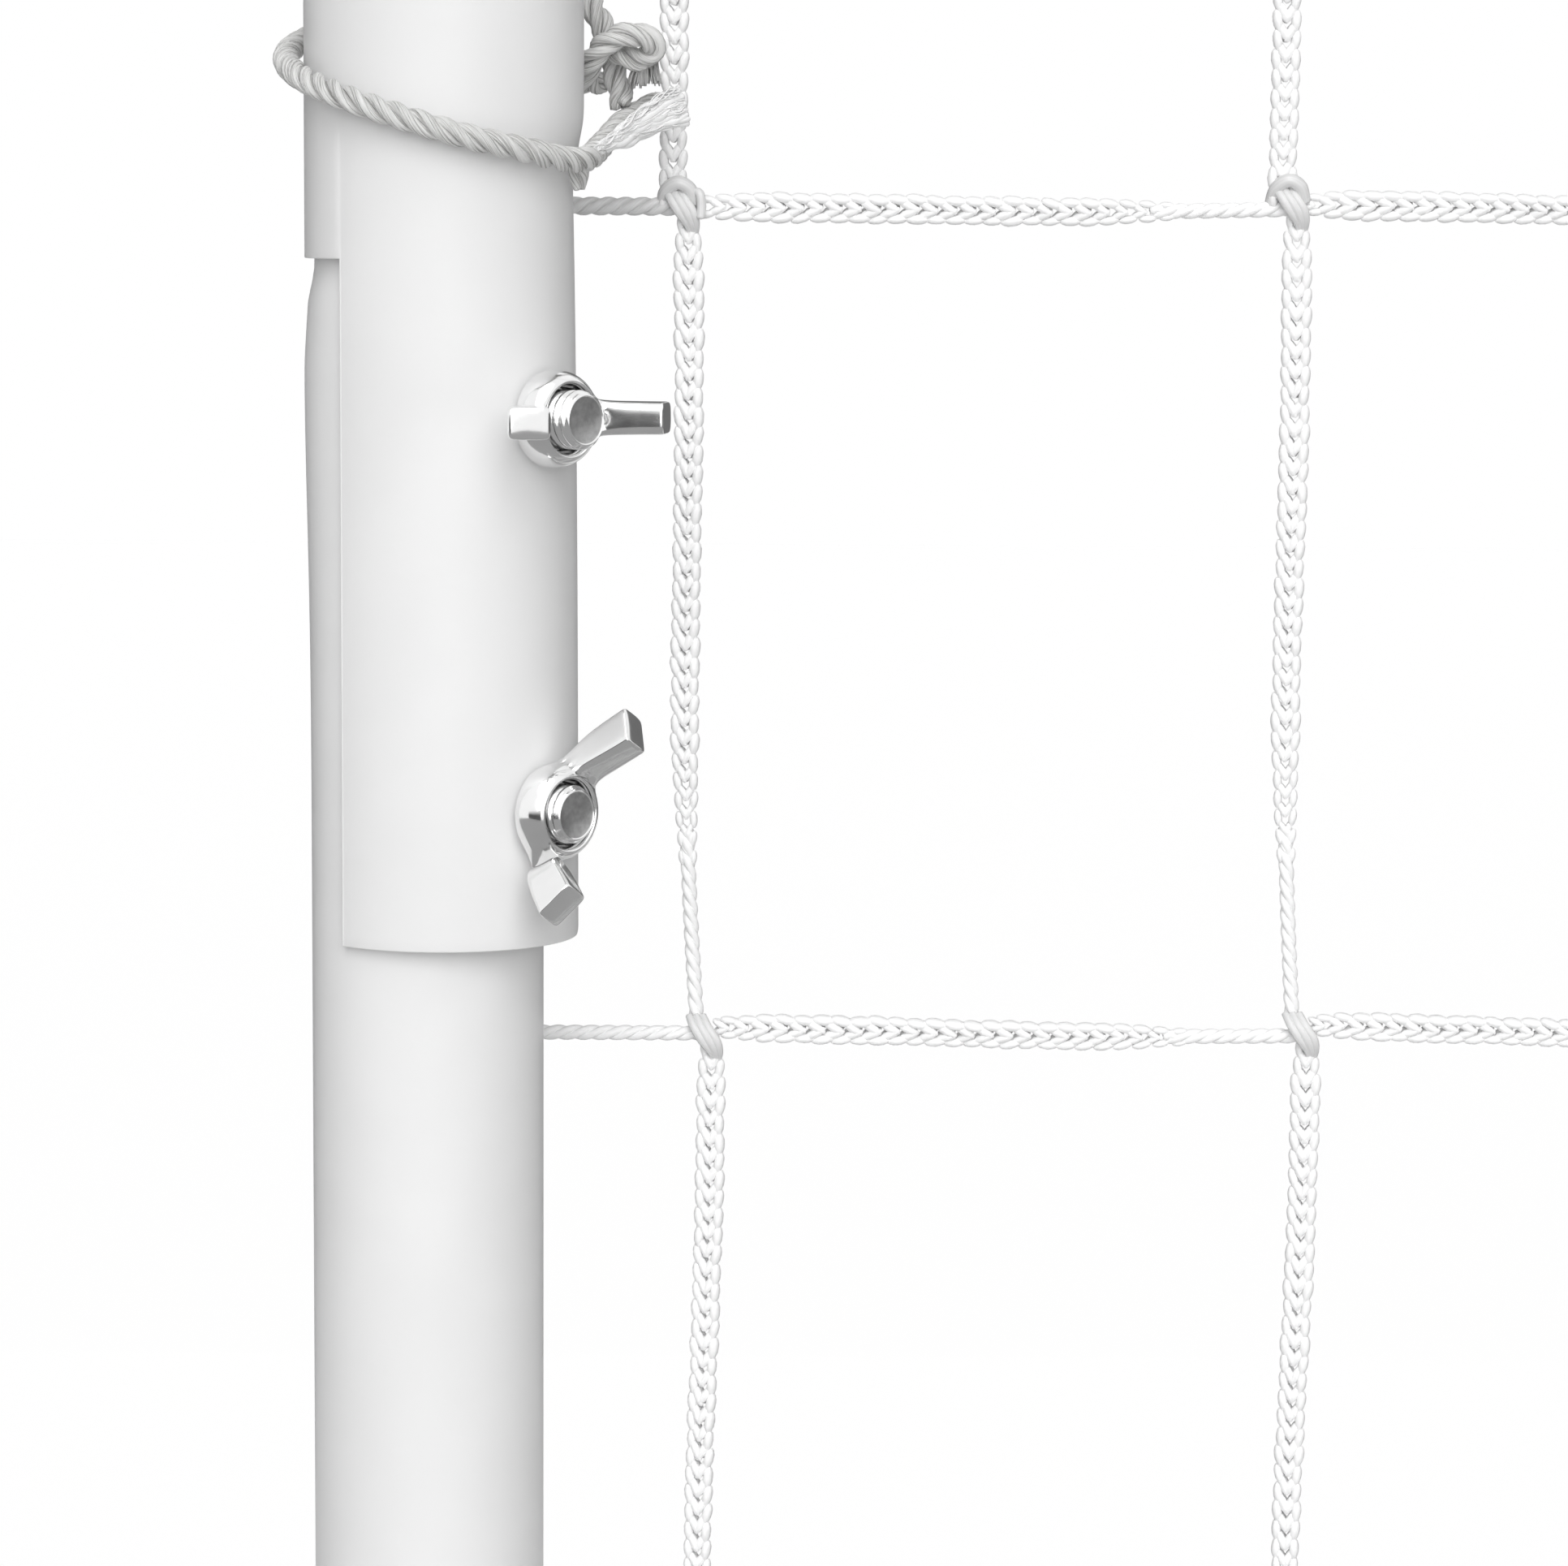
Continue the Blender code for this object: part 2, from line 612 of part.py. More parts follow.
def smooth_route(corners, steps):
    """Places on a smooth curve through the corners, steps of them between two corners."""
    padded = [corners[0], *corners, corners[-1]]
    places = []
    for index in range(len(corners) - 1):
        a, b, c, d = (Vector(padded[index + number]) for number in range(4))
        for step in range(steps):
            t = step / steps
            place = b + (c - a) * (t / 2) + (a * 2 - b * 5 + c * 4 - d) * (t * t / 2)
            places.append(place + (b * 3 - a - c * 3 + d) * (t**3 / 2))
    places.append(Vector(corners[-1]))
    return places


# The lashing's route on the left pole, in millimetres from the pole's axis and the second row.
# It runs from the net's first upright cord round the front of the pole, up behind it and
# outside the side rope, and down behind the knot.
LASHING = (
    (40.4, 21.4, 18.4),
    (33.6, 17.4, 15.4),
    (28.6, 10.6, 12.2),
    (25.8, 2.4, 8.8),
    (22.6, -12.4, 6.0),
    (13.6, -22.0, 7.6),
    (1.8, -25.8, 10.4),
    (-13.4, -22.0, 15.2),
    (-22.6, -11.8, 19.2),
    (-25.6, 1.0, 23.0),
    (-21.6, 13.8, 26.6),
    (-12.0, 23.6, 30.0),
    (2.0, 30.4, 33.4),
    (13.0, 31.8, 36.4),
    (20.4, 27.6, 37.6),
    (22.4, 20.0, 35.0),
    (23.6, 15.6, 31.4),
    (25.4, 14.4, 27.8),
    (26.6, 14.2, 24.0),
    (27.2, 14.2, 20.6),
    (28.2, 14.4, 17.4),
)
# The loop of the knot in front of the lashing's end
KNOT = (
    (22.6, 13.4, 19.4),
    (22.9, 11.4, 20.7),
    (24.1, 8.3, 23.0),
    (26.6, 5.8, 25.5),
    (29.6, 5.0, 26.6),
    (32.3, 5.6, 26.3),
    (34.0, 7.4, 25.0),
    (33.4, 9.2, 23.5),
    (31.5, 9.8, 22.8),
    (28.9, 9.8, 23.4),
)
MILLIMETRE = 0.001


def on_pole(place, sign):
    x, y, z = (value * MILLIMETRE for value in place)
    return Vector((sign * (x - POLE_X), y, ROW_1 + z))


def add_lashing(side, sign):
    for name, route in (("_lashing", LASHING), ("_lashing_knot", KNOT)):
        add_rope(side + name, smooth_route([on_pole(place, sign) for place in route], 2))


def add_side_rope(side, sign, top, bottom):
    """The rope behind the pole that the net's rows are tied to."""
    x = sign * (SIDE_ROPE_X - POLE_X)
    steps = 4
    places = [(x, NET_BACK, top + (bottom - top) * step / steps) for step in range(steps + 1)]
    add_rope(side + "_side_rope", places)


def main():
    clear_scene()
    nut = wing_nut_mesh()
    for side, sign in SIDES.items():
        add_base_socket(side, sign)
        add_foot(side, sign)
        add_lower_tube(side, sign)
        add_middle_tube(side, sign)
        add_upper_tube(side, sign)
        add_top_cap(side, sign)
        add_bolt(side + "_upper_bolt", sign, UPPER_BOLT, UPPER_BOLT_END)
        add_bolt(side + "_lower_bolt", sign, LOWER_BOLT, LOWER_BOLT_END)
        add_bolt(side + "_base_bolt", sign, BASE_BOLT, BASE_BOLT_END, BASE_HEAD_END, AXIS_OFFSET)
        add_wing_nut(side + "_upper_wing_nut", nut, sign, UPPER_BOLT, UPPER_NUT_TURN)
        add_wing_nut(side + "_lower_wing_nut", nut, sign, LOWER_BOLT, LOWER_NUT_TURN)
        add_wing_nut(side + "_base_wing_nut", nut, sign, BASE_BOLT, BASE_NUT_TURN, offset=AXIS_OFFSET)
        add_lashing(side, sign)
    add_rail()
    add_net()
    rope_gap = CORD_WIDTH / 2 + ROPE_RADIUS + GAP
    head = NET_TOP + rope_gap
    foot = NET_TOP - ROWS * MESH_HEIGHT - END_DROP - rope_gap
    add_edge_rope("head_rope", UPPER_RADIUS + ROPE_RADIUS + WIND_GAP, 0.0, head)
    add_edge_rope("foot_rope", LOWER_RADIUS + ROPE_RADIUS + WIND_GAP, AXIS_OFFSET, foot)
    clearance = 2 * ROPE_RADIUS + GAP
    for side, sign in SIDES.items():
        add_side_rope(side, sign, head - WIND_DROP - clearance, foot + clearance)


main()
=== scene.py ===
"""The looks of a volleyball net on poles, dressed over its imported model.

Metres, +Z up, front at -Y. The camera stands close to the left pole's bolted joint, as in the
photograph. Ropes, net cords, tubes, nuts and bolts are modelled here at the places that the
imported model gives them.
"""

import math

import bmesh
import bpy
import numpy as np
from mathutils import Matrix, Vector


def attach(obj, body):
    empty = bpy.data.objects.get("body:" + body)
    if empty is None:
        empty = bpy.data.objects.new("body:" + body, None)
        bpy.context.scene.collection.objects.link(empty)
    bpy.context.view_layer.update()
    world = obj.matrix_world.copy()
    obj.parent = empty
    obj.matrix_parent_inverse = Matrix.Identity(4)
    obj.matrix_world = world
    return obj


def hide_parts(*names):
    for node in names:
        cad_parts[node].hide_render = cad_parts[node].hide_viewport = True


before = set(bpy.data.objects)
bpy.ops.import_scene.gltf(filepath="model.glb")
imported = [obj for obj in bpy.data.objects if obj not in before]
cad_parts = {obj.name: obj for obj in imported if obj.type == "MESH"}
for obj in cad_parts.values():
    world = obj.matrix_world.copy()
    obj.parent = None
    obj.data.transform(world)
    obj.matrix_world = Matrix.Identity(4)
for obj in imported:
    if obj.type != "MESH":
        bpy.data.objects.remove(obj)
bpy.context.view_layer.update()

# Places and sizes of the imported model
COLUMNS = 30
ROWS = 6
MESH_WIDTH = 0.103
MESH_HEIGHT = 0.141
NET_TOP = 2.240
NET_BACK = 0.0262
NET_SIDE_GAP = 0.033
SIDE_BOW = 0.0125
END_DROP = 0.0013
POLE_X = COLUMNS * MESH_WIDTH / 2 + NET_SIDE_GAP
MILLIMETRE = 0.001
SLEEVE_WALL = 0.0012
WALL = 0.0015
UPPER_RADIUS = 0.02275
LOWER_RADIUS = 0.01915
NECK_RADIUS = 0.0182
SPIGOT_RADIUS = 0.0169
SPIGOT_LENGTH = 0.10
AXIS_OFFSET = -0.00293
POLE_SPLIT = 1.10
GAP = 0.0003
ROW_1 = NET_TOP - MESH_HEIGHT
SLEEVE_CUT = ROW_1 - 0.010
TONGUE_END = ROW_1 - 0.1212
UPPER_BOLT = ROW_1 - 0.0353
LOWER_BOLT = ROW_1 - 0.0990
PINCH_START = ROW_1 + 0.015
BULGE_HEIGHT = ROW_1 - 0.029
UPPER_TOP = 2.310
MIDDLE_TOP = 2.283
BOLT_TURN = math.radians(-41)
TONGUE_OUTER_EDGE = math.radians(-134)
TONGUE_INNER_EDGE = math.radians(12)
TONGUE_CORNER = 0.008
AXIS_SLANT = math.asin(AXIS_OFFSET * math.sin(BOLT_TURN) / LOWER_RADIUS)
CREASE_TOP = ROW_1 + 0.0128
CREASE_DEPTH = 0.00016
HOLE_RADIUS = 0.0052
HEAD_RADIUS = 0.0082
HEAD_START = 0.0072
HEAD_END = 0.0104
UPPER_BOLT_END = 0.0319
LOWER_BOLT_END = 0.0300
NUT_SEAT = 0.02305
UPPER_NUT_TURN = math.radians(0)
LOWER_NUT_TURN = math.radians(58)
BASE_NUT_TURN = math.radians(20)
FOOT_AXIS = 0.0255
FOOT_LENGTH = 0.90
CAP_RADIUS = 0.027
CAP_LENGTH = 0.050
CAP_WALL = 0.006
SOCKET_TOP = 0.240
SOCKET_FLOOR = 0.052
SOCKET_ARM = 0.120
SOCKET_BORE = LOWER_RADIUS + 0.0004
BORE_LENGTH = 0.40
RAIL_START = 0.030
COUPLER_LENGTH = 0.200
BASE_BOLT = 0.180
BASE_BOLT_END = 0.0330
BASE_HEAD_END = 0.0149
ROPE_RADIUS = 0.0021
WIND_GAP = 0.00045
WIND_DROP = 0.0062
WIND_START = 0.060
WIND_TURN = math.radians(338)
SIDE_ROPE_X = 0.0100
CORD_WIDTH = 0.0042
ROPE_STEP = CORD_WIDTH / 2 + ROPE_RADIUS + GAP
SIDES = {"left": 1, "right": -1}

# Camera, set from the photograph
LENS = 111.8
CAMERA_X = 0.0560 - POLE_X
CAMERA_Y = -0.800
CAMERA_Z = ROW_1 - 0.0019
CAMERA_PITCH = math.radians(6.7)
CAMERA_ROLL = math.radians(0.35)

# Brightness of the studio, and its floor
WORLD_FILL = 0.19
FLOOR_GLOW = 0.60
FLOOR_LIGHT = 1.30
FLOOR_REACH = 30.0
FLOOR_DROP = 0.0005

# Rope of three strands, and the fibres of its cut ends
STRAND_RADIUS = 0.00100
STRAND_PATH = 0.00116
ROPE_LAY = 0.0122
FIBRE_RADIUS = 0.00013
LOCKS = 38
LOOSE_FIBRES = 110
BRUSH_LOCKS = 9
LOCK_FIBRES = 14

# Net cord: stitches, and the share of each cord after which it is only twisted
STITCH = 0.00324
TWIST_START = 0.76
TWIST_LAY = 0.0086
TWIST_PATH = 0.00064
TWIST_RADIUS = 0.00070
# Lobes of a stitch: their place aside and outward, then half their length, width and depth
CHEVRON = (0.00056, 0.00066, 0.00186, 0.00074, 0.00088)
PLAIN_CHEVRON = (0.00112, 0.0, 0.00186, 0.00112, 0.0017)
SIDE_LOOP = (0.00148, 0.00040, 0.00182, 0.00083, 0.00120)
CHEVRON_LEAN = 0.00030
CHEVRON_SLANT = math.radians(27)
LOOP_SLANT = math.radians(7)
# How far a cord's line is drawn aside, as one wave and as two
TOP_LEAN = (0.0010, -0.0004)
UPRIGHT_LEAN = (-0.0010, 0.0006)
ROW_LEAN = (-0.0004, 0.0002)
NEAR_COLUMNS = 3
NEAR_ROWS = 4

# A tie's yarns, in millimetres from the crossing: the loop over it, the band and a cut end
TIE_LOOP = ((-4.2, 0.6, 0.4), (-3.7, -1.5, 2.6), (-1.7, -2.7, 4.0), (0.3, -2.3, 2.9), (1.0, -1.1, 0.6))
TIE_LOOP_RADIUS = 0.00118
TIE_BAND = ((-2.7, -0.9, 3.2), (-1.8, -2.4, 1.4), (-0.4, -2.7, -0.8), (0.6, -1.8, -2.8), (0.9, 0.0, -4.6))
TIE_BAND_SPREAD = (1.0, 1.0, 1.0, 0.6, 0.3)
TIE_BAND_RADIUS = 0.00088
TIE_CUT_END = ((1.0, -1.8, 2.4), (2.0, -3.0, 2.2), (2.3, -3.0, 0.2), (2.2, -3.0, -1.9))
TIE_CUT_RADIUS = 0.00076
RING_RADIUS = 0.00062
RING_REACH = 0.0030

# Bolts and wing nuts
THREAD_PITCH = 0.0015
THREAD_DEPTH = 0.00056
THREAD_RADIUS = 0.0048
END_CHAMFER = 0.0008
HUB_SEGMENTS = 16
# The hub's outline as (radius, height), from under its rim over the dome and down the bore
HUB_OUTLINE = (
    (0.00575, 0.0),
    (0.00775, 0.0),
    (0.00812, 0.0009),
    (0.00812, 0.0026),
    (0.00765, 0.0043),
    (0.00690, 0.0054),
    (0.00625, 0.0058),
    (0.00572, 0.0053),
    (0.00552, 0.0040),
    (0.00542, 0.0026),
    (0.00515, 0.0022),
    (0.00510, 0.0),
)
# The points of the outline from which the wings grow
WING_ROOT = (2, 3, 4, 5)
# Each station of a wing: its reach from the bolt, its height, depth, thickness and lean
WING_STATIONS = (
    (0.0100, 0.0052, 0.0058, 0.0054, math.radians(37)),
    (0.0122, 0.0074, 0.0066, 0.0053, math.radians(42)),
    (0.0143, 0.0098, 0.0069, 0.0052, math.radians(50)),
    (0.0156, 0.0113, 0.0070, 0.0052, math.radians(57)),
    (0.0160, 0.0118, 0.0070, 0.0052, math.radians(58)),
)
TIP_DOME = 0.0004
# Sharpness of the wings' edges, at their root, along them and round their tip
ROOT_CREASE = 0.1
EDGE_CREASE = 0.14
TIP_CREASE = 0.17


# Meshes


def add_mesh(name, points, faces, material, uvs=None, flip=False):
    """A piece from points and faces, mirrored across X by flip. uvs gives one pair per point."""
    points = np.asarray(points, float).reshape(-1, 3)
    if flip:
        points = points * np.array([-1.0, 1.0, 1.0])
        faces = [tuple(reversed(face)) for face in faces]
    mesh = bpy.data.meshes.new(name)
    mesh.from_pydata(points.tolist(), [], [tuple(face) for face in faces])
    if uvs is not None:
        layer = mesh.uv_layers.new(name="Along")
        corners = np.empty(len(mesh.loops), np.int32)
        mesh.loops.foreach_get("vertex_index", corners)
        layer.data.foreach_set("uv", np.asarray(uvs, np.float32)[corners].ravel())
    mesh.shade_smooth()
    mesh.materials.append(material)
    return add_item(name, mesh)


def add_item(name, data):
    item = bpy.data.objects.new(name, data)
    bpy.context.collection.objects.link(item)
    return item


def sharpen(item, angle):
    item.data.set_sharp_from_angle(angle=math.radians(angle))


def add_bevel(item, width, segments, angle):
    bevel = item.modifiers.new("edges", "BEVEL")
    bevel.width = width
    bevel.segments = segments
    bevel.limit_method = "ANGLE"
    bevel.angle_limit = math.radians(angle)
    bevel.harden_normals = False


def dress(item, body, node):
    """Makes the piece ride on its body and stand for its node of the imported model."""
    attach(item, body)
    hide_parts(node)


def turned(profile, segments):
    """Points and faces of a profile of (radius, height) turned about Z, closed on the axis
    where its ends lie there and otherwise a closed loop."""
    points = []
    rings = []
    for radius, height in profile:
        if radius == 0:
            rings.append([len(points)])
            points.append((0.0, 0.0, height))
            continue
        first = len(points)
        for step in range(segments):
            turn = 2 * math.pi * step / segments
            points.append((radius * math.cos(turn), radius * math.sin(turn), height))
        rings.append(list(range(first, first + segments)))
    pairs = list(zip(rings, rings[1:]))
    if profile[0][0] != 0:
        pairs.append((rings[-1], rings[0]))
    faces = []
    for low, high in pairs:
        for step in range(segments):
            after = (step + 1) % segments
            if len(low) == 1:
                faces.append((low[0], high[after], high[step]))
            elif len(high) == 1:
                faces.append((low[step], low[after], high[0]))
            else:
                faces.append((low[step], low[after], high[after], high[step]))
    return points, faces


def face_out(item):
    shape = bmesh.new()
    shape.from_mesh(item.data)
    bmesh.ops.recalc_face_normals(shape, faces=shape.faces)
    shape.to_mesh(item.data)
    shape.free()
    return item


def add_turned(name, profile, segments, material, angle, place):
    """A turned piece at its place, with sharp edges where its faces meet at more than angle."""
    item = face_out(add_mesh(name, *turned(profile, segments), material))
    sharpen(item, angle)
    item.matrix_world = place
    return item


def pole_place(sign, height=0.0, offset=0.0):
    return Matrix.Translation((sign * (offset - POLE_X), 0.0, height))


def bolt_place(sign, height, offset=0.0, along=0.0, spin=0.0):
    """A frame whose Z runs out along a bolt and whose X is level."""
    out = Vector((sign * math.cos(BOLT_TURN), math.sin(BOLT_TURN), 0.0))
    level = Vector((-math.sin(BOLT_TURN) * sign, math.cos(BOLT_TURN), 0.0))
    turn = Matrix((level, out.cross(level), out)).transposed().to_4x4()
    corner = pole_place(sign, height, offset).translation + out * along
    return Matrix.Translation(corner) @ turn @ Matrix.Rotation(spin, 4, "Z")


def smooth_step(value):
    value = min(1.0, max(0.0, value))
    return value * value * (3 - 2 * value)


def turn_from(turn, centre):
    return math.remainder(turn - centre, 2 * math.pi)


# Materials


class Nodes:
    """Short calls for building a node tree."""

    def __init__(self, owner):
        owner.use_nodes = True
        self.tree = owner.node_tree

    def give(self, socket, value):
        """Links the input to a socket, or else sets it to a value."""
        if isinstance(value, bpy.types.NodeSocket):
            self.tree.links.new(value, socket)
        else:
            socket.default_value = value

    def fill(self, node, **values):
        """Gives values to a node's inputs, or else to its settings. An underscore in a name
        stands for a space in the input's name."""
        for name, value in values.items():
            title = name.replace("_", " ")
            if title in node.inputs:
                self.give(node.inputs[title], value)
            else:
                setattr(node, name, value)

    def add(self, kind, **values):
        made = self.tree.nodes.new("ShaderNode" + kind)
        self.fill(made, **values)
        return made

    def combine(self, operation, first, second):
        made = self.add("Math", operation=operation)
        self.give(made.inputs[0], first)
        self.give(made.inputs[1], second)
        return made.outputs[0]

    def seen(self, *rays):
        """1 for the rays that show a thing, and 0 for those by which it only lights others."""
        path = self.add("LightPath")
        share = path.outputs[rays[0]]
        for ray in rays[1:]:
            share = self.combine("MAXIMUM", share, path.outputs[ray])
        return share

    def end_in(self, output):
        self.give(self.tree.nodes["Material Output"].inputs["Surface"], output)


class Look(Nodes):
    """A Principled material and the calls that build its textures."""

    def __init__(self, name, colour, roughness, metallic=0.0):
        self.material = bpy.data.materials.new(name)
        super().__init__(self.material)
        self.shader = self.tree.nodes["Principled BSDF"]
        self.surface(Base_Color=(*colour, 1.0), Roughness=roughness, Metallic=metallic)
        self.last_bump = None

    def surface(self, **values):
        self.fill(self.shader, **values)

    def place(self, scale=(1, 1, 1), source="Object"):
        """Coordinates multiplied by scale."""
        if source == "Along":
            start = self.add("UVMap", uv_map=source).outputs["UV"]
        else:
            start = self.add("TexCoord").outputs[source]
        return self.add("Mapping", Scale=scale, Vector=start).outputs["Vector"]

    def noise(self, where, scale, detail=3.0, roughness=0.5):
        made = self.add("TexNoise", Vector=where, Scale=scale, Detail=detail, Roughness=roughness)
        return made.outputs["Fac"]

    def ramp(self, value, low, high, first, last):
        """first where value is low or less, last where it is high or more."""
        made = self.add("ValToRGB", Fac=value)
        for element, position, colour in zip(made.color_ramp.elements, (low, high), (first, last)):
            element.position = position
            element.color = (*colour, 1.0)
        return made.outputs["Color"]

    def spread(self, value, first, last):
        """A number from first to last as value goes from 0 to 1."""
        return self.add("MapRange", Value=value, To_Min=first, To_Max=last).outputs["Result"]

    def bump(self, height, distance, strength=1.0):
        made = self.add("Bump", Height=height, Distance=distance, Strength=strength)
        if self.last_bump:
            self.give(made.inputs["Normal"], self.last_bump)
        self.last_bump = made.outputs["Normal"]
        self.surface(Normal=self.last_bump)


def grey(value):
    return (value, value, value)


def cloudy(name, shades, gloss, clouds, wear, bumps, metallic=0.0, ends=(0.3, 0.7)):
    """A material with clouds of two shades, uneven gloss and fine bumps. clouds and wear are the
    scale and detail of noise, and each bump its scale, detail, depth and stretch along Y."""
    look = Look(name, grey(sum(shades) / 2), sum(gloss) / 2, metallic)
    where = look.place()
    look.surface(Base_Color=look.ramp(look.noise(where, *clouds), *ends, *map(grey, shades)))
    look.surface(Roughness=look.spread(look.noise(where, *wear), *gloss))
    for scale, detail, depth, stretch in bumps:
        look.bump(look.noise(look.place((1, stretch, 1)), scale, detail), depth)
    return look


def powder_coat():
    """White powder coat: faint cloudiness and the fine ripple of the cured powder."""
    bumps = ((620, 1.5, 0.000018, 1), (4200, 1, 0.000002, 1))
    look = cloudy(
        "white_powder_coat", (0.80, 0.83), (0.30, 0.42), (35, 2), (160, 3), bumps, ends=(0.35, 0.65)
    )
    look.surface(Specular_IOR_Level=0.22)
    return look.material


def bright_zinc():
    """Polished zinc with soft casting ripple and fine wear."""
    bumps = ((210, 2, 0.00003, 1), (3600, 2, 0.000002, 1))
    return cloudy("bright_zinc", (0.84, 0.94), (0.08, 0.17), (90, 3), (700, 4), bumps, 1.0).material


def sawn_steel():
    """The cut face of a bolt's end."""
    bumps = ((1500, 2, 0.000012, 6),)
    return cloudy("sawn_steel", (0.34, 0.46), (0.34, 0.52), (900, 3), (2500, 3), bumps, 1.0).material


def black_rubber():
    bumps = ((1800, 3, 0.00003, 1),)
    return cloudy("black_rubber", (0.030, 0.055), (0.62, 0.82), (60, 4), (300, 3), bumps).material


def white_plastic():
    bumps = ((1600, 2, 0.000012, 1),)
    return cloudy("white_plastic", (0.76, 0.80), (0.36, 0.50), (50, 2), (500, 3), bumps).material


def yarn(name, shades, gloss, along, ends, wear, depth, strength):
    """A yarn with fine filaments, whose noise runs along it at the scale given."""
    look = Look(name, grey(sum(shades) / 2), sum(gloss) / 2)
    lines = look.noise(look.place((9.0, along, 1.0), "Along"), 1.0, 3.0, 0.6)
    look.surface(Base_Color=look.ramp(lines, *ends, *map(grey, shades)))
    look.surface(Roughness=look.spread(look.noise(look.place(), wear, 2.0), *gloss))
    look.bump(lines, depth, strength)
    return look


def net_yarn():
    """White knitting yarn."""
    look = yarn("net_yarn", (0.92, 0.98), (0.50, 0.66), 1.6, (0.25, 0.62), 900.0, 0.00008, 0.8)
    look.surface(Sheen_Weight=0.15, Sheen_Roughness=0.4)
    return look.material


def tie_yarn():
    """The waxed, greyer yarn of the ties at the net's crossings."""
    look = yarn("tie_yarn", (0.64, 0.82), (0.28, 0.46), 1.8, (0.28, 0.66), 700.0, 0.00010, 0.7)
    look.bump(look.noise(look.place(), 420.0, 2.0), 0.00010, 0.6)
    return look.material


def rope_fibre():
    """Off-white fibre: bundles and single fibres that run along the rope; the dark end of its streaks is
    painted shade in the gaps between them.
    """
    look = Look("rope_fibre", grey(0.62), 0.62)
    bundles = look.noise(look.place((16.0, 60.0, 1.0), "Along"), 1.0, 2.0)
    fibres = look.noise(look.place((52.0, 150.0, 1.0), "Along"), 1.0, 3.0, 0.6)
    streaks_and_gap_shade = look.combine("ADD", bundles, fibres)
    # The dark end of this ramp is painted shade of the gaps between fibres and strands; the light end is the
    # fibre's off-white.
    look.surface(Base_Color=look.ramp(streaks_and_gap_shade, 0.82, 1.14, (0.40, 0.395, 0.385), (0.82, 0.82, 0.81)))
    look.surface(Roughness=look.spread(fibres, 0.50, 0.75), Sheen_Weight=0.12, Sheen_Roughness=0.5)
    look.bump(bundles, 0.00050, 0.9)
    look.bump(fibres, 0.00020, 0.9)
    return look.material


PAINT = powder_coat()
ZINC = bright_zinc()
SAWN = sawn_steel()
RUBBER = black_rubber()
PLASTIC = white_plastic()
YARN = net_yarn()
TIE = tie_yarn()
FIBRE = rope_fibre()


# Camera and studio


def add_camera():
    data = bpy.data.cameras.new("camera")
    data.lens = LENS
    data.sensor_width = 36.0
    data.clip_start = 0.05
    data.clip_end = 100.0
    camera = add_item("camera", data)
    place = Matrix.Translation((CAMERA_X, CAMERA_Y, CAMERA_Z))
    tilt = Matrix.Rotation(math.pi / 2 - CAMERA_PITCH, 4, "X")
    camera.matrix_world = place @ tilt @ Matrix.Rotation(CAMERA_ROLL, 4, "Z")
    bpy.context.scene.camera = camera


def add_plane(name, width, height, material):
    corners = ((-1, -1), (1, -1), (1, 1), (-1, 1))
    points = [(a * width / 2, b * height / 2, 0) for a, b in corners]
    item = add_mesh(name, points, [(0, 1, 2, 3)], material)
    return item


def add_wall(name, place, target, width, height, shade, soft_from):
    """A wall of the studio that only reflections show, grey below and white at its top."""
    material = bpy.data.materials.new(name)
    nodes = Nodes(material)
    where = nodes.add("TexCoord").outputs["Generated"]
    level = nodes.add("SeparateXYZ", Vector=where).outputs["Y"]
    shades = nodes.add("MapRange", interpolation_type="SMOOTHSTEP", Value=level)
    nodes.fill(shades, From_Min=soft_from, To_Min=shade, To_Max=1.0)
    nodes.end_in(nodes.add("Emission", Strength=shades.outputs["Result"]).outputs[0])
    wall = add_plane(name, width, height, material)
    wall.location = place
    wall.rotation_euler = (Vector(target) - Vector(place)).to_track_quat("-Z", "Y").to_euler()
    for flag in ("visible_camera", "visible_diffuse", "visible_shadow", "visible_transmission"):
        setattr(wall, flag, False)


def add_world():
    """White where it is seen directly or in a reflection, and a softer fill for the rest."""
    world = bpy.data.worlds.new("studio")
    bpy.context.scene.world = world
    nodes = Nodes(world)
    seen = nodes.seen("Is Camera Ray", "Is Glossy Ray", "Is Transmission Ray")
    strength = nodes.add("MapRange", Value=seen, To_Min=WORLD_FILL, To_Max=1.0)
    background = nodes.tree.nodes["Background"]
    nodes.fill(background, Color=(1, 1, 1, 1), Strength=strength.outputs["Result"])


def add_floor():
    """A pale floor that keeps the object's shadow and otherwise shows white."""
    look = Look("pale_floor", grey(0.80), 0.9)
    look.surface(Specular_IOR_Level=0.1)
    share = look.combine("MULTIPLY", look.seen("Is Camera Ray", "Is Glossy Ray"), FLOOR_GLOW)
    mix = look.add("MixShader", Fac=share)
    look.give(mix.inputs[1], look.shader.outputs[0])
    look.give(mix.inputs[2], look.add("Emission", Strength=FLOOR_LIGHT).outputs[0])
    look.end_in(mix.outputs[0])
    floor = add_plane("floor", 2 * FLOOR_REACH, 2 * FLOOR_REACH, look.material)
    floor.location.z = -FLOOR_DROP


def add_sun(name, azimuth, elevation, strength, spread):
    """A far soft light. Azimuth 0 shines from the front and grows towards the right."""
    data = bpy.data.lights.new(name, "SUN")
    data.energy = strength
    data.angle = math.radians(spread)
    turn = Matrix.Rotation(math.radians(azimuth), 4, "Z")
    tilt = Matrix.Rotation(math.radians(90 - elevation), 4, "X")
    add_item(name, data).matrix_world = turn @ tilt


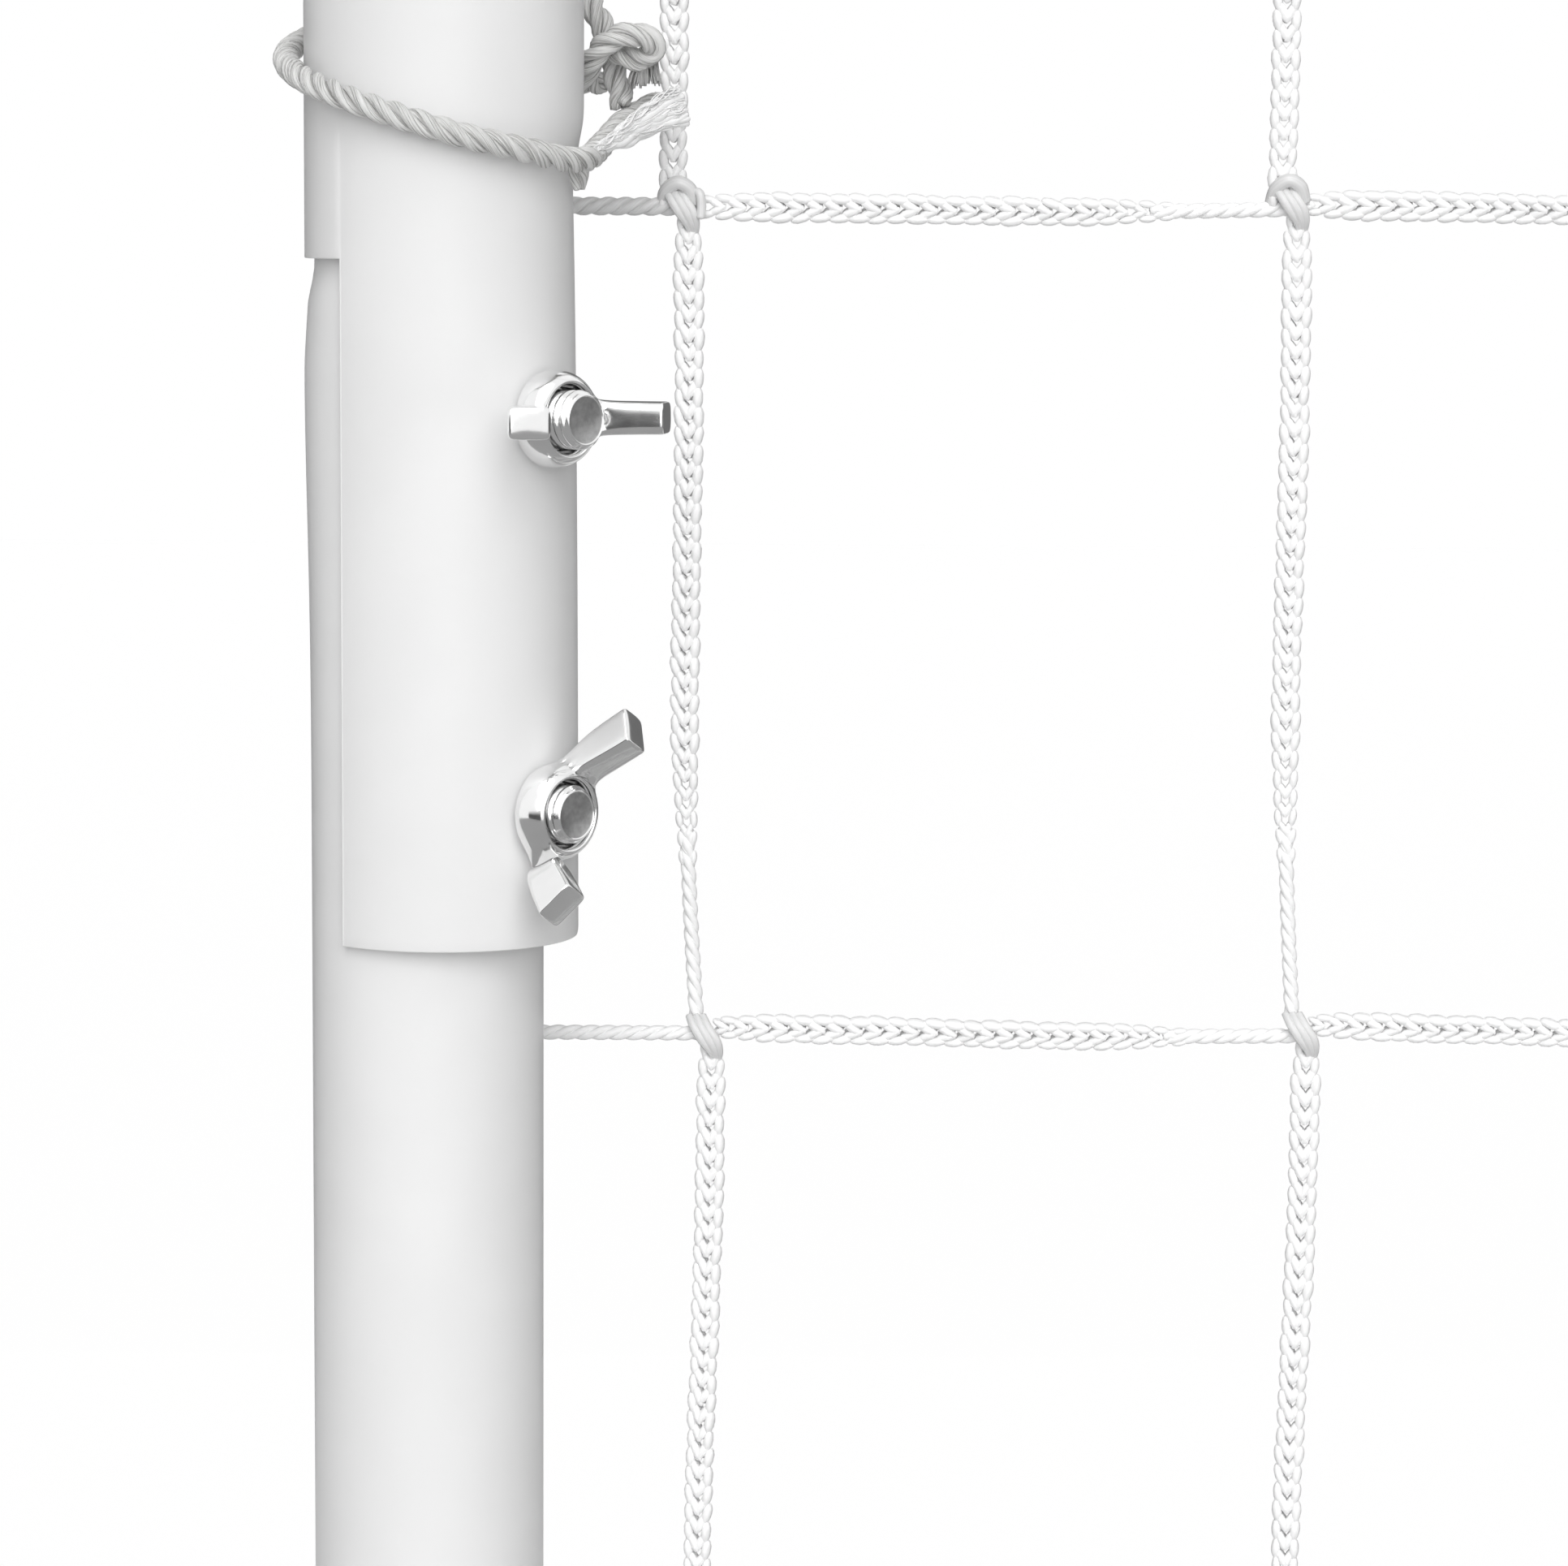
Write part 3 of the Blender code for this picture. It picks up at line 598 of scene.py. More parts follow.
def add_studio():
    bpy.context.scene.view_settings.view_transform = "Standard"
    add_world()
    add_floor()
    add_sun("key", 1.5, 24, 2.10, 56)
    add_sun("top", 0, 62, 0.72, 50)
    add_wall("wall_back", (1.5, 7.0, 4.0), (1.5, 0.0, 4.0), 26.0, 8.0, 0.16, 0.80)
    add_wall("wall_front", (-7.8, -9.0, 1.9), (-7.8, 0.0, 1.9), 13.0, 3.8, 0.07, 0.40)
    add_wall("wall_right", (10.0, -1.0, 2.2), (0.0, -1.0, 2.2), 16.0, 4.4, 0.12, 0.60)
    add_wall("wall_floor", (-1.5, -1.0, 0.0), (-1.5, -1.0, 1.0), 24.0, 18.0, 0.34, 0.60)


# Tubes


def pinch(turn, height):
    """How far the upper tube is pressed in on its inner side, most just above the cut."""
    top = ROW_1 + 0.0005
    if height >= PINCH_START:
        depth = 0.0
    elif height > top:
        depth = 0.0016 * smooth_step((PINCH_START - height) / (PINCH_START - top))
    else:
        depth = 0.0005 + 0.0011 * math.exp((height - top) / 0.05)
    return -depth * math.exp(-((turn_from(turn, 0.0) / math.radians(38)) ** 2))


def crease(turn, height):
    """How much lower the tongue's metal lies than the rest of the sleeve."""
    inside = -turn_from(turn, TONGUE_OUTER_EDGE) * UPPER_RADIUS
    if turn_from(turn, TONGUE_INNER_EDGE) > 0.3 or inside > 0.0002:
        return 0.0
    return -CREASE_DEPTH * smooth_step((CREASE_TOP - height) / 0.004) * smooth_step(-inside / 0.0005 + 0.4)


def bulge(turn, height):
    """How far the middle tube swells on its outer side, just below the end of the sleeve."""
    distance = height - BULGE_HEIGHT
    spread = 0.010 if distance > 0 else 0.032
    size = 0.0008 * math.exp(-((distance / spread) ** 2))
    return size * math.exp(-((turn_from(turn, math.pi) / math.radians(30)) ** 2))


def sheet(columns, radius_at):
    """Points and faces of a curved sheet. columns holds (turn, heights), and neighbours with
    equally many heights are joined."""
    points = []
    faces = []
    numbers = []
    for turn, heights in columns:
        numbers.append(range(len(points), len(points) + len(heights)))
        for height in heights:
            radius = radius_at(turn, height)
            points.append((radius * math.cos(turn), radius * math.sin(turn), height))
    for left, right in zip(numbers, numbers[1:]):
        for step in range(len(left) - 1):
            faces.append((left[step], right[step], right[step + 1], left[step + 1]))
    return points, faces


def levels(low, high, count):
    return [low + (high - low) * step / count for step in range(count + 1)]


def joined_sheet(name, parts, radius_at, wall, place, flip):
    """Painted sheets whose edges meet, given a wall and rounded rims."""
    points = []
    faces = []
    for columns in parts:
        more, sides = sheet(columns, radius_at)
        faces += [tuple(number + len(points) for number in face) for face in sides]
        points += more
    item = add_mesh(name, points, faces, PAINT, flip=flip)
    shape = bmesh.new()
    shape.from_mesh(item.data)
    bmesh.ops.remove_doubles(shape, verts=shape.verts, dist=0.00002)
    shape.to_mesh(item.data)
    shape.free()
    solid = item.modifiers.new("wall", "SOLIDIFY")
    solid.thickness = wall
    solid.offset = -1.0
    solid.use_even_offset = True
    add_bevel(item, wall * 0.3, 3, 55)
    item.matrix_world = place
    return item


def add_upper_tube(side, sign):
    """The sleeve: a full ring above the cut, and below it only the tongue."""
    ring_levels = levels(SLEEVE_CUT, CREASE_TOP + 0.006, 28) + levels(CREASE_TOP + 0.012, UPPER_TOP, 14)
    start = TONGUE_OUTER_EDGE
    span = TONGUE_INNER_EDGE - TONGUE_OUTER_EDGE
    inside = [start + span * step / 72 for step in range(73)]
    edge = [start + offset / UPPER_RADIUS for offset in (0.0002, 0.0005)]
    inside = sorted(inside + edge)
    outside_span = 2 * math.pi - span
    outside = [start + span + outside_span * step / 72 for step in range(1, 73)]
    ring = [(turn, ring_levels) for turn in inside + outside]
    corner_turn = TONGUE_CORNER / UPPER_RADIUS
    tongue = []
    for turn in inside:
        share = max(0.0, (turn - (TONGUE_INNER_EDGE - corner_turn)) / corner_turn)
        low = TONGUE_END + TONGUE_CORNER * (1 - math.sqrt(max(0.0, 1 - min(1.0, share) ** 2)))
        tongue.append((turn, levels(low, SLEEVE_CUT, 60)))

    def radius_at(turn, height):
        return UPPER_RADIUS + pinch(turn, height) + crease(turn, height)

    name = side + "_upper_sleeve"
    place = pole_place(sign)
    item = joined_sheet(name, [ring, tongue], radius_at, SLEEVE_WALL, place, sign < 0)
    dress(item, side + "_mast", side + "_upper_tube")


def add_middle_tube(side, sign):
    """Spigot, shoulder and the main length with its slot, which is open at the top."""
    shoulder = POLE_SPLIT + GAP
    neck = SLEEVE_CUT - 0.004
    half = math.asin(HOLE_RADIUS / (NECK_RADIUS - WALL))
    centre = BOLT_TURN + AXIS_SLANT
    inside = [centre + half * (step / 6 - 1) for step in range(13)]
    outside = [centre + half + (2 * math.pi - 2 * half) * step / 120 for step in range(1, 121)]

    def radius_at(turn, height):
        radius = LOWER_RADIUS
        radius += (NECK_RADIUS - LOWER_RADIUS) * smooth_step((height - neck + 0.004) / 0.007)
        return radius + bulge(turn, height)

    def slot_bottom(turn):
        across = math.sin(turn - centre) / math.sin(half)
        return LOWER_BOLT - HOLE_RADIUS * math.sqrt(max(0.0, 1 - min(1.0, abs(across)) ** 2))

    lower = []
    for turn in inside + outside[:-1] + [inside[0] + 2 * math.pi]:
        top = slot_bottom(turn) if abs(turn_from(turn, centre)) < half * 1.001 else LOWER_BOLT
        heights = [shoulder, shoulder + 0.002] + levels(shoulder + 0.30, top - 0.02, 12)
        lower.append((turn, heights + [top - 0.006, top]))
    upper_levels = levels(LOWER_BOLT, SLEEVE_CUT + 0.004, 50) + levels(SLEEVE_CUT + 0.02, MIDDLE_TOP, 8)
    upper = [(turn, upper_levels) for turn in [inside[-1]] + outside]
    name = side + "_middle_pole"
    place = pole_place(sign, 0.0, AXIS_OFFSET)
    item = joined_sheet(name, [lower, upper], radius_at, WALL, place, sign < 0)
    dress(item, "base", side + "_middle_tube")
    bottom = POLE_SPLIT - SPIGOT_LENGTH
    top = shoulder + 0.002
    bore = SPIGOT_RADIUS - WALL
    spigot = [(SPIGOT_RADIUS, bottom), (SPIGOT_RADIUS, top), (bore, top), (bore, bottom)]
    item = add_turned(side + "_middle_spigot", spigot, 48, PAINT, 40, place)
    dress(item, "base", side + "_middle_tube")


def add_plain_tube(name, node, bottom, top, place, radius=LOWER_RADIUS):
    """A painted tube of the base with softly broken ends."""
    lip = 0.0004
    bore = radius - WALL
    profile = [(radius, bottom + lip), (radius, top - lip), (radius - lip, top), (bore, top)]
    profile += [(bore, bottom), (radius - lip, bottom)]
    dress(add_turned(name, profile, 64, PAINT, 30, place), "base", node)


def add_top_cap(side, sign):
    """A moulded cap with a domed top, a rounded rim and a ribbed plug."""
    bore = UPPER_RADIUS - SLEEVE_WALL - 0.0004
    top = UPPER_TOP + GAP
    rim = UPPER_RADIUS + 0.0005
    profile = [(0, top - 0.012), (bore - 0.0012, top - 0.012), (bore, top - 0.0105)]
    for step in range(4):
        height = top - 0.009 + step * 0.002
        profile += [(bore - 0.0005, height), (bore, height + 0.0007)]
    profile += [(bore - 0.0003, top), (rim - 0.0002, top), (rim, top + 0.0003), (rim, top + 0.0028)]
    for step in range(1, 9):
        turn = math.pi / 2 * step / 8
        profile.append((rim - 0.0035 * (1 - math.cos(turn)), top + 0.0028 + 0.0030 * math.sin(turn)))
    profile += [(0.012, top + 0.0067), (0, top + 0.0070)]
    item = add_turned(side + "_pole_cap", profile, 64, PLASTIC, 35, pole_place(sign))
    dress(item, side + "_mast", side + "_top_cap")


# Bolts and wing nuts


def add_bolt(node, sign, body, height, end, head_end=HEAD_END, offset=0.0):
    """A threaded bolt with a flat head, and a sawn face in a narrow rim at its end."""
    around = 56
    rows = int((end - head_end) / (THREAD_PITCH / 10))
    turns = np.arange(around) * 2 * math.pi / around
    heights = np.linspace(head_end, end, rows)
    phase = (heights[:, None] / THREAD_PITCH - turns[None, :] / (2 * math.pi)) % 1.0
    wave = 0.5 - 0.5 * np.cos(2 * math.pi * phase)
    radius = THREAD_RADIUS - THREAD_DEPTH * wave**1.4
    limit = THREAD_RADIUS - np.clip(heights - (end - END_CHAMFER), 0, None) * 0.9
    radius = np.minimum(radius, limit[:, None])
    along = np.repeat(heights[:, None], around, 1)
    shank = np.stack([radius * np.cos(turns), radius * np.sin(turns), along], -1)
    head_start = head_end - HEAD_END + HEAD_START
    head = [(0.0, head_start - 0.0002)]
    for share in np.arange(1, 8) / 7:
        head.append((HEAD_RADIUS * math.sin(share * math.pi / 2), head_start + 0.0020 * share**3))
    head += [(HEAD_RADIUS, head_end - 0.0003), (HEAD_RADIUS - 0.0003, head_end)]
    points, faces = turned(head, around)
    base = len(points)
    points += [tuple(point) for point in shank.reshape(-1, 3)]
    for low in range(base - around, len(points) - around, around):
        faces += ring_faces(low, low + around, around)
    rim = len(points) - around
    outline = points[rim:]
    for scale, depth in ((0.965, -0.00005), (0.92, 0.00012)):
        inner = len(points)
        points += [(x * scale, y * scale, end - depth) for x, y, _ in outline]
        faces += ring_faces(rim, inner, around)
        rim = inner
    faces.append(tuple(range(rim, rim + around)))
    item = face_out(add_mesh(node + "_body", points, faces, ZINC))
    item.data.materials.append(SAWN)
    item.data.polygons[len(faces) - 1].material_index = 1
    sharpen(item, 50)
    item.matrix_world = bolt_place(sign, height, offset)
    dress(item, body, node)


def ring_faces(low, high, around):
    """The faces between two rings of points that start at the numbers given."""
    pairs = [(step, (step + 1) % around) for step in range(around)]
    return [(low + step, low + after, high + after, high + step) for step, after in pairs]


def wing_nut_cage():
    """The nut as a coarse cage for subdivision: a domed hub with two wings drawn out of it."""
    shape = bmesh.new()
    rings = []
    for radius, height in HUB_OUTLINE:
        turns = [2 * math.pi * step / HUB_SEGMENTS for step in range(HUB_SEGMENTS)]
        spots = [(radius * math.cos(turn), radius * math.sin(turn), height) for turn in turns]
        rings.append([shape.verts.new(spot) for spot in spots])
    grid = {}
    for number, (low, high) in enumerate(zip(rings, rings[1:] + rings[:1])):
        for step in range(HUB_SEGMENTS):
            after = (step + 1) % HUB_SEGMENTS
            grid[number, step] = shape.faces.new((low[step], low[after], high[after], high[step]))
    creases = shape.edges.layers.float.new("crease_edge")
    for way in (1, -1):
        middle = 0 if way == 1 else HUB_SEGMENTS // 2
        opened = [(middle + offset) % HUB_SEGMENTS for offset in (-1, 0)]
        doomed = [grid[level, column] for level in WING_ROOT[:-1] for column in opened]
        bmesh.ops.delete(shape, geom=doomed, context="FACES_ONLY")
        columns = [(middle + offset * way) % HUB_SEGMENTS for offset in (-1, 0, 1)]
        root = [[rings[level][column] for column in columns] for level in WING_ROOT]
        add_wing(shape, creases, root, way)
    bmesh.ops.recalc_face_normals(shape, faces=shape.faces)
    mesh = bpy.data.meshes.new("wing_nut")
    shape.to_mesh(mesh)
    shape.free()
    mesh.shade_smooth()
    mesh.materials.append(ZINC)
    return mesh


def wing_station(shape, way, number):
    """Four rows of three points across a wing."""
    reach, height, depth, thickness, lean = WING_STATIONS[number]
    rows = []
    for up in (-1.0, -0.5, 0.5, 1.0):
        row = []
        for column in (-1, 0, 1):
            domed = number == len(WING_STATIONS) - 1 and column == 0 and abs(up) < 1
            along = reach + (TIP_DOME if domed else 0.0) - up * depth / 2 * math.sin(lean)
            across = column * thickness / 2 * way
            rise = height + up * depth / 2 * math.cos(lean)
            row.append(shape.verts.new((way * along, across, rise)))
        rows.append(row)
    return rows


def add_wing(shape, creases, root, way):
    """A wing that grows out of the hub's opened faces, whose rows of points are its root."""
    border = [(0, 0), (0, 1), (0, 2), (1, 2), (2, 2), (3, 2), (3, 1), (3, 0), (2, 0), (1, 0)]
    sides = list(zip(border, border[1:] + border[:1]))
    previous = root
    for number in range(len(WING_STATIONS)):
        current = wing_station(shape, way, number)
        for (row, column), (next_row, next_column) in sides:
            corners = [previous[row][column], previous[next_row][next_column]]
            corners += [current[next_row][next_column], current[row][column]]
            shape.faces.new(corners)
        for row, column in ((0, 0), (0, 2), (3, 0), (3, 2)):
            edge = shape.edges.get((previous[row][column], current[row][column]))
            edge[creases] = EDGE_CREASE if number else ROOT_CREASE
        previous = current
    for row in range(3):
        for column in range(2):
            corners = previous[row][column : column + 2] + previous[row + 1][column : column + 2][::-1]
            shape.faces.new(corners)
    for (row, column), (next_row, next_column) in sides:
        edge = shape.edges.get((previous[row][column], previous[next_row][next_column]))
        edge[creases] = TIP_CREASE


def add_wing_nut(node, cage, sign, body, height, spin, offset=0.0):
    item = add_item(node + "_cast", cage.copy())
    item.matrix_world = bolt_place(sign, height, offset, NUT_SEAT, sign * spin)
    rounding = item.modifiers.new("rounding", "SUBSURF")
    rounding.levels = 3
    rounding.render_levels = 3
    dress(item, body, node)


# Base


def along_y():
    return Matrix.Rotation(-math.pi / 2, 4, "X")


def add_base_socket(side, sign):
    """Three short sleeves welded in a tee, bored for the pole, the foot and the rail."""
    centre = pole_place(sign, FOOT_AXIS, AXIS_OFFSET)
    across = centre @ along_y()
    inward = centre @ Matrix.Rotation(sign * math.pi / 2, 4, "Y")
    bolt = bolt_place(sign, BASE_BOLT, AXIS_OFFSET)
    half = SOCKET_ARM / 2

    def drum(name, low, high, place, radius=UPPER_RADIUS):
        points, faces = turned([(0, low), (radius, low), (radius, high), (0, high)], 56)
        item = face_out(add_mesh(side + name, points, faces, PAINT))
        item.matrix_world = place
        return item

    item = drum("_base_tee", 0.0, SOCKET_TOP - FOOT_AXIS, centre)
    changes = (
        ("UNION", drum("_across", -half, half, across)),
        ("UNION", drum("_arm", 0.0, SOCKET_ARM, inward)),
        ("DIFFERENCE", drum("_foot_bore", -BORE_LENGTH / 2, BORE_LENGTH / 2, across, SOCKET_BORE)),
        ("DIFFERENCE", drum("_pole_bore", SOCKET_FLOOR - FOOT_AXIS, BORE_LENGTH, centre, SOCKET_BORE)),
        ("DIFFERENCE", drum("_rail_bore", RAIL_START - 0.004, BORE_LENGTH, inward, SOCKET_BORE)),
        ("DIFFERENCE", drum("_bolt_hole", 0.010, 0.030, bolt, HOLE_RADIUS)),
    )
    for operation, cutter in changes:
        change = item.modifiers.new(operation.lower(), "BOOLEAN")
        change.operation = operation
        change.object = cutter
        change.solver = "EXACT"
    bpy.context.view_layer.update()
    graph = bpy.context.evaluated_depsgraph_get()
    mesh = bpy.data.meshes.new_from_object(item.evaluated_get(graph))
    item.modifiers.clear()
    item.data = mesh
    for _, cutter in changes:
        bpy.data.objects.remove(cutter, do_unlink=True)
    add_bevel(item, 0.0005, 2, 50)
    mesh.shade_smooth()
    sharpen(item, 40)
    dress(item, "base", side + "_base_socket")


def add_foot(side, sign):
    centre = pole_place(sign, FOOT_AXIS, AXIS_OFFSET)
    half = FOOT_LENGTH / 2
    add_plain_tube(side + "_foot_pipe", side + "_foot_tube", -half, half, centre @ along_y())
    start = half - CAP_LENGTH + CAP_WALL
    end = start + CAP_LENGTH
    profile = [(0, half + GAP), (SOCKET_BORE, half + GAP), (SOCKET_BORE, start)]
    profile.append((CAP_RADIUS - 0.0012, start))
    profile += [(CAP_RADIUS, start + 0.0012), (CAP_RADIUS, start + 0.006)]
    for step in range(5):
        groove = start + 0.008 + step * 0.006
        profile += [(CAP_RADIUS, groove), (CAP_RADIUS - 0.0008, groove + 0.0006)]
        profile += [(CAP_RADIUS - 0.0008, groove + 0.0016), (CAP_RADIUS, groove + 0.0022)]
    for step in range(9):
        turn = math.pi / 2 * step / 8
        profile.append((CAP_RADIUS - 0.004 * (1 - math.cos(turn)), end - 0.004 * (1 - math.sin(turn))))
    profile.append((0, end))
    for name, turn in (("front", 1), ("back", -1)):
        node = side + "_foot_cap_" + name
        item = face_out(add_mesh(node + "_shoe", *turned(profile, 72), RUBBER))
        place = centre @ Matrix.Rotation(turn * math.pi / 2, 4, "X")
        for vertex in item.data.vertices:
            spot = place @ vertex.co
            if spot.z < 0.0:
                spot.z = 0.0
                vertex.co = place.inverted() @ spot
        sharpen(item, 35)
        item.matrix_world = place
        dress(item, "base", node)


def add_rail():
    start = POLE_X - AXIS_OFFSET - RAIL_START
    for side, sign in SIDES.items():
        place = Matrix.Translation((0, 0, FOOT_AXIS)) @ Matrix.Rotation(-sign * math.pi / 2, 4, "Y")
        add_plain_tube(side + "_rail_pipe", side + "_floor_rail", GAP / 2, start, place)
    radius = SOCKET_BORE + WALL
    half = COUPLER_LENGTH / 2
    place = Matrix.Translation((0, 0, FOOT_AXIS)) @ Matrix.Rotation(math.pi / 2, 4, "Y")
    add_plain_tube("rail_coupler_sleeve", "rail_coupler", -half, half, place, radius)


def add_lower_tube(side, sign):
    place = pole_place(sign, 0, AXIS_OFFSET)
    bottom = SOCKET_FLOOR + GAP
    add_plain_tube(side + "_lower_pole", side + "_lower_tube", bottom, POLE_SPLIT, place)


# Ropes


def smooth_route(corners, spacing):
    """Evenly spaced places on a smooth curve through the corners."""
    padded = np.array([corners[0], *corners, corners[-1]], float)
    places = []
    for index in range(len(corners) - 1):
        a, b, c, d = padded[index : index + 4]
        for t in np.linspace(0, 1, 24, endpoint=False):
            place = b + (c - a) * (t / 2) + (a * 2 - b * 5 + c * 4 - d) * (t * t / 2)
            places.append(place + (b * 3 - a - c * 3 + d) * (t**3 / 2))
    places.append(padded[-1])
    return respaced(np.array(places), spacing)


def travelled(places):
    return np.concatenate([[0], np.cumsum(np.linalg.norm(np.diff(places, axis=0), axis=1))])


def respaced(places, spacing):
    reach = travelled(places)
    count = max(2, int(round(reach[-1] / spacing)) + 1)
    wanted = np.linspace(0, reach[-1], count)
    return np.stack([np.interp(wanted, reach, places[:, axis]) for axis in range(3)], 1)


def unit(vectors):
    return vectors / np.maximum(np.linalg.norm(vectors, axis=-1, keepdims=True), 1e-12)


def carried_frames(places):
    """Tangents and two normals that follow the places without twisting."""
    tangents = unit(np.gradient(places, axis=0))
    normal = np.array((0.0, -1.0, 0.0))
    normals = []
    for tangent in tangents:
        normal = normal - tangent * normal.dot(tangent)
        if np.linalg.norm(normal) < 1e-4:
            normal = np.cross(tangent, (0.0, 0.0, 1.0))
        normal = normal / np.linalg.norm(normal)
        normals.append(normal)
    normals = np.array(normals)
    return tangents, normals, np.cross(tangents, normals)


def tube_mesh(places, radius, sides, outward=None):
    """Points, quads, UVs and end triangles of a closed tube. radius is a number or one for each
    place, and outward is the side opposite the seam."""
    tangents, normals, sidewards = carried_frames(places)
    if outward is not None:
        normals = unit(outward - tangents * np.sum(outward * tangents, 1)[:, None])
        sidewards = np.cross(tangents, normals)
    radii = np.broadcast_to(np.asarray(radius, float), (len(places),))
    turns = np.linspace(-math.pi, math.pi, sides + 1)
    cosines = np.cos(turns)[None, :, None]
    ring = normals[:, None] * cosines + sidewards[:, None] * np.sin(turns)[None, :, None]
    points = (places[:, None] + ring * radii[:, None, None]).reshape(-1, 3)
    along = travelled(places)
    uvs = np.broadcast_arrays((turns / (2 * math.pi) + 0.5)[None, :], along[:, None])
    uvs = np.stack(uvs, -1).reshape(-1, 2)
    last = len(places) - 1
    low = np.arange(last)[:, None] * (sides + 1) + np.arange(sides)[None, :]
    quads = np.stack([low, low + 1, low + sides + 2, low + sides + 1], -1).reshape(-1, 4)
    tips = [places[end] + tangents[end] * way * radii[end] * 0.35 for end, way in ((0, -1), (last, 1))]
    rim = last * (sides + 1)
    caps = [(step + 1, step, len(points)) for step in range(sides)]
    caps += [(rim + step, rim + step + 1, len(points) + 1) for step in range(sides)]
    uvs = np.concatenate([uvs, [(0.5, along[0]), (0.5, along[last])]])
    return np.concatenate([points, tips]), quads, uvs, caps


class Bundle:
    """Collects meshes that become one piece."""

    def __init__(self):
        self.points = []
        self.quads = []
        self.triangles = []
        self.uvs = []
        self.count = 0

    def add(self, points, quads, uvs, triangles):
        self.points.append(points)
        self.uvs.append(uvs)
        if len(quads):
            self.quads.append(quads + self.count)
        self.triangles.append(np.asarray(triangles) + self.count)
        self.count += len(points)

    def tube(self, places, radius, sides, outward=None):
        self.add(*tube_mesh(np.asarray(places, float), radius, sides, outward))

    def lay(
        self, places, sides, hand, strands=3, size=1.0, lay=ROPE_LAY, path=STRAND_PATH, radius=STRAND_RADIUS
    ):
        """Strands laid round the places. size is a number or one for each place."""
        _, normals, sidewards = carried_frames(places)
        size = np.broadcast_to(size, (len(places),))
        for strand in range(strands):
            turn = hand * 2 * math.pi * travelled(places) / lay + 2 * math.pi * strand / strands
            out = normals * np.cos(turn)[:, None] + sidewards * np.sin(turn)[:, None]
            self.tube(places + out * (path * size)[:, None], radius * size, sides, out)

    def piece(self, name, material, body, node, slot):
        faces = np.concatenate(self.quads).tolist() if self.quads else []
        faces += np.concatenate(self.triangles).tolist()
        points = np.concatenate(self.points)
        item = add_mesh(name, points, faces, material, np.concatenate(self.uvs))
        dress(item, body, node)


def on_pole(corners, sign, spacing):
    """A smooth route on a pole, from corners in millimetres."""
    scaled = [[value * MILLIMETRE for value in corner] for corner in corners]
    return smooth_route([(sign * (x - POLE_X), y, ROW_1 + z) for x, y, z in scaled], spacing)


# Routes on the left pole, in millimetres from the pole's axis and the net's second row
LASHING = (
    (40.4, 21.4, 18.4),
    (33.6, 17.4, 15.4),
    (28.6, 10.6, 12.2),
    (25.8, 2.4, 8.8),
    (22.6, -12.4, 6.0),
    (13.6, -22.0, 7.6),
    (1.8, -25.8, 10.4),
    (-13.4, -22.0, 15.2),
    (-22.6, -11.8, 19.2),
    (-25.6, 1.0, 23.0),
    (-21.6, 13.8, 26.6),
    (-12.0, 23.6, 30.0),
    (2.0, 30.4, 33.4),
    (13.0, 31.8, 36.4),
    (20.4, 27.6, 37.6),
    (22.4, 20.0, 35.0),
    (23.6, 15.6, 31.4),
    (25.4, 14.4, 27.8),
    (26.6, 14.2, 24.0),
    (27.2, 14.2, 20.6),
    (28.2, 14.4, 17.4),
    (28.6, 13.6, 15.0),
)
KNOT = (
    (25.4, 15.6, 19.6),
    (23.4, 14.8, 18.8),
    (22.5, 13.2, 19.2),
    (22.8, 11.2, 20.7),
    (24.0, 8.3, 23.0),
    (26.6, 6.2, 25.5),
    (29.6, 5.6, 26.6),
    (32.3, 6.2, 26.3),
    (34.0, 7.6, 25.0),
    (33.4, 9.0, 23.5),
    (31.5, 9.4, 22.7),
    (29.2, 9.6, 23.3),
    (27.0, 10.4, 24.4),
)
# Routes that only this scene has: the knot's brush, the short tail and the opened end, which takes
# the place of the lashing's first steps
BRUSH = ((33.2, 10.6, 23.6), (32.6, 10.2, 21.8), (32.4, 9.6, 19.8), (32.4, 9.2, 17.6))
FRONT_TAIL = ((22.4, -9.6, 6.6), (22.3, -8.8, 4.0), (22.4, -8.4, 1.4))
OPENED_STEPS = 9
OPEN_END = (
    (23.0, -10.2, 6.2),
    (26.0, -2.8, 8.5),
    (30.0, 5.0, 11.0),
    (34.5, 11.4, 13.5),
    (38.4, 15.2, 15.0),
)


def add_lashing(side, sign):
    mast = side + "_mast"
    rope = Bundle()
    rope.lay(on_pole(LASHING, sign, 0.0007)[OPENED_STEPS:], 11, sign)
    tail = on_pole(FRONT_TAIL, sign, 0.0004)
    taper = np.linspace(1.0, 0.55, len(tail))
    rope.lay(tail, 11, -sign, 2, taper, path=STRAND_PATH * 0.9, radius=STRAND_RADIUS * 1.2)
    rope.piece(side + "_lashing_rope", FIBRE, mast, side + "_lashing", "twisted_rope")
    loose = Bundle()
    add_open_end(loose, on_pole(OPEN_END, sign, 0.0004))
    loose.piece(side + "_opened_end", YARN, mast, side + "_lashing", "twisted_rope")
    knot = Bundle()
    knot.lay(on_pole(KNOT, sign, 0.0006), 11, sign)
    add_brush(knot, on_pole(BRUSH, sign, 0.0004))
    knot.piece(side + "_tied_knot", FIBRE, mast, side + "_lashing_knot", "twisted_rope")


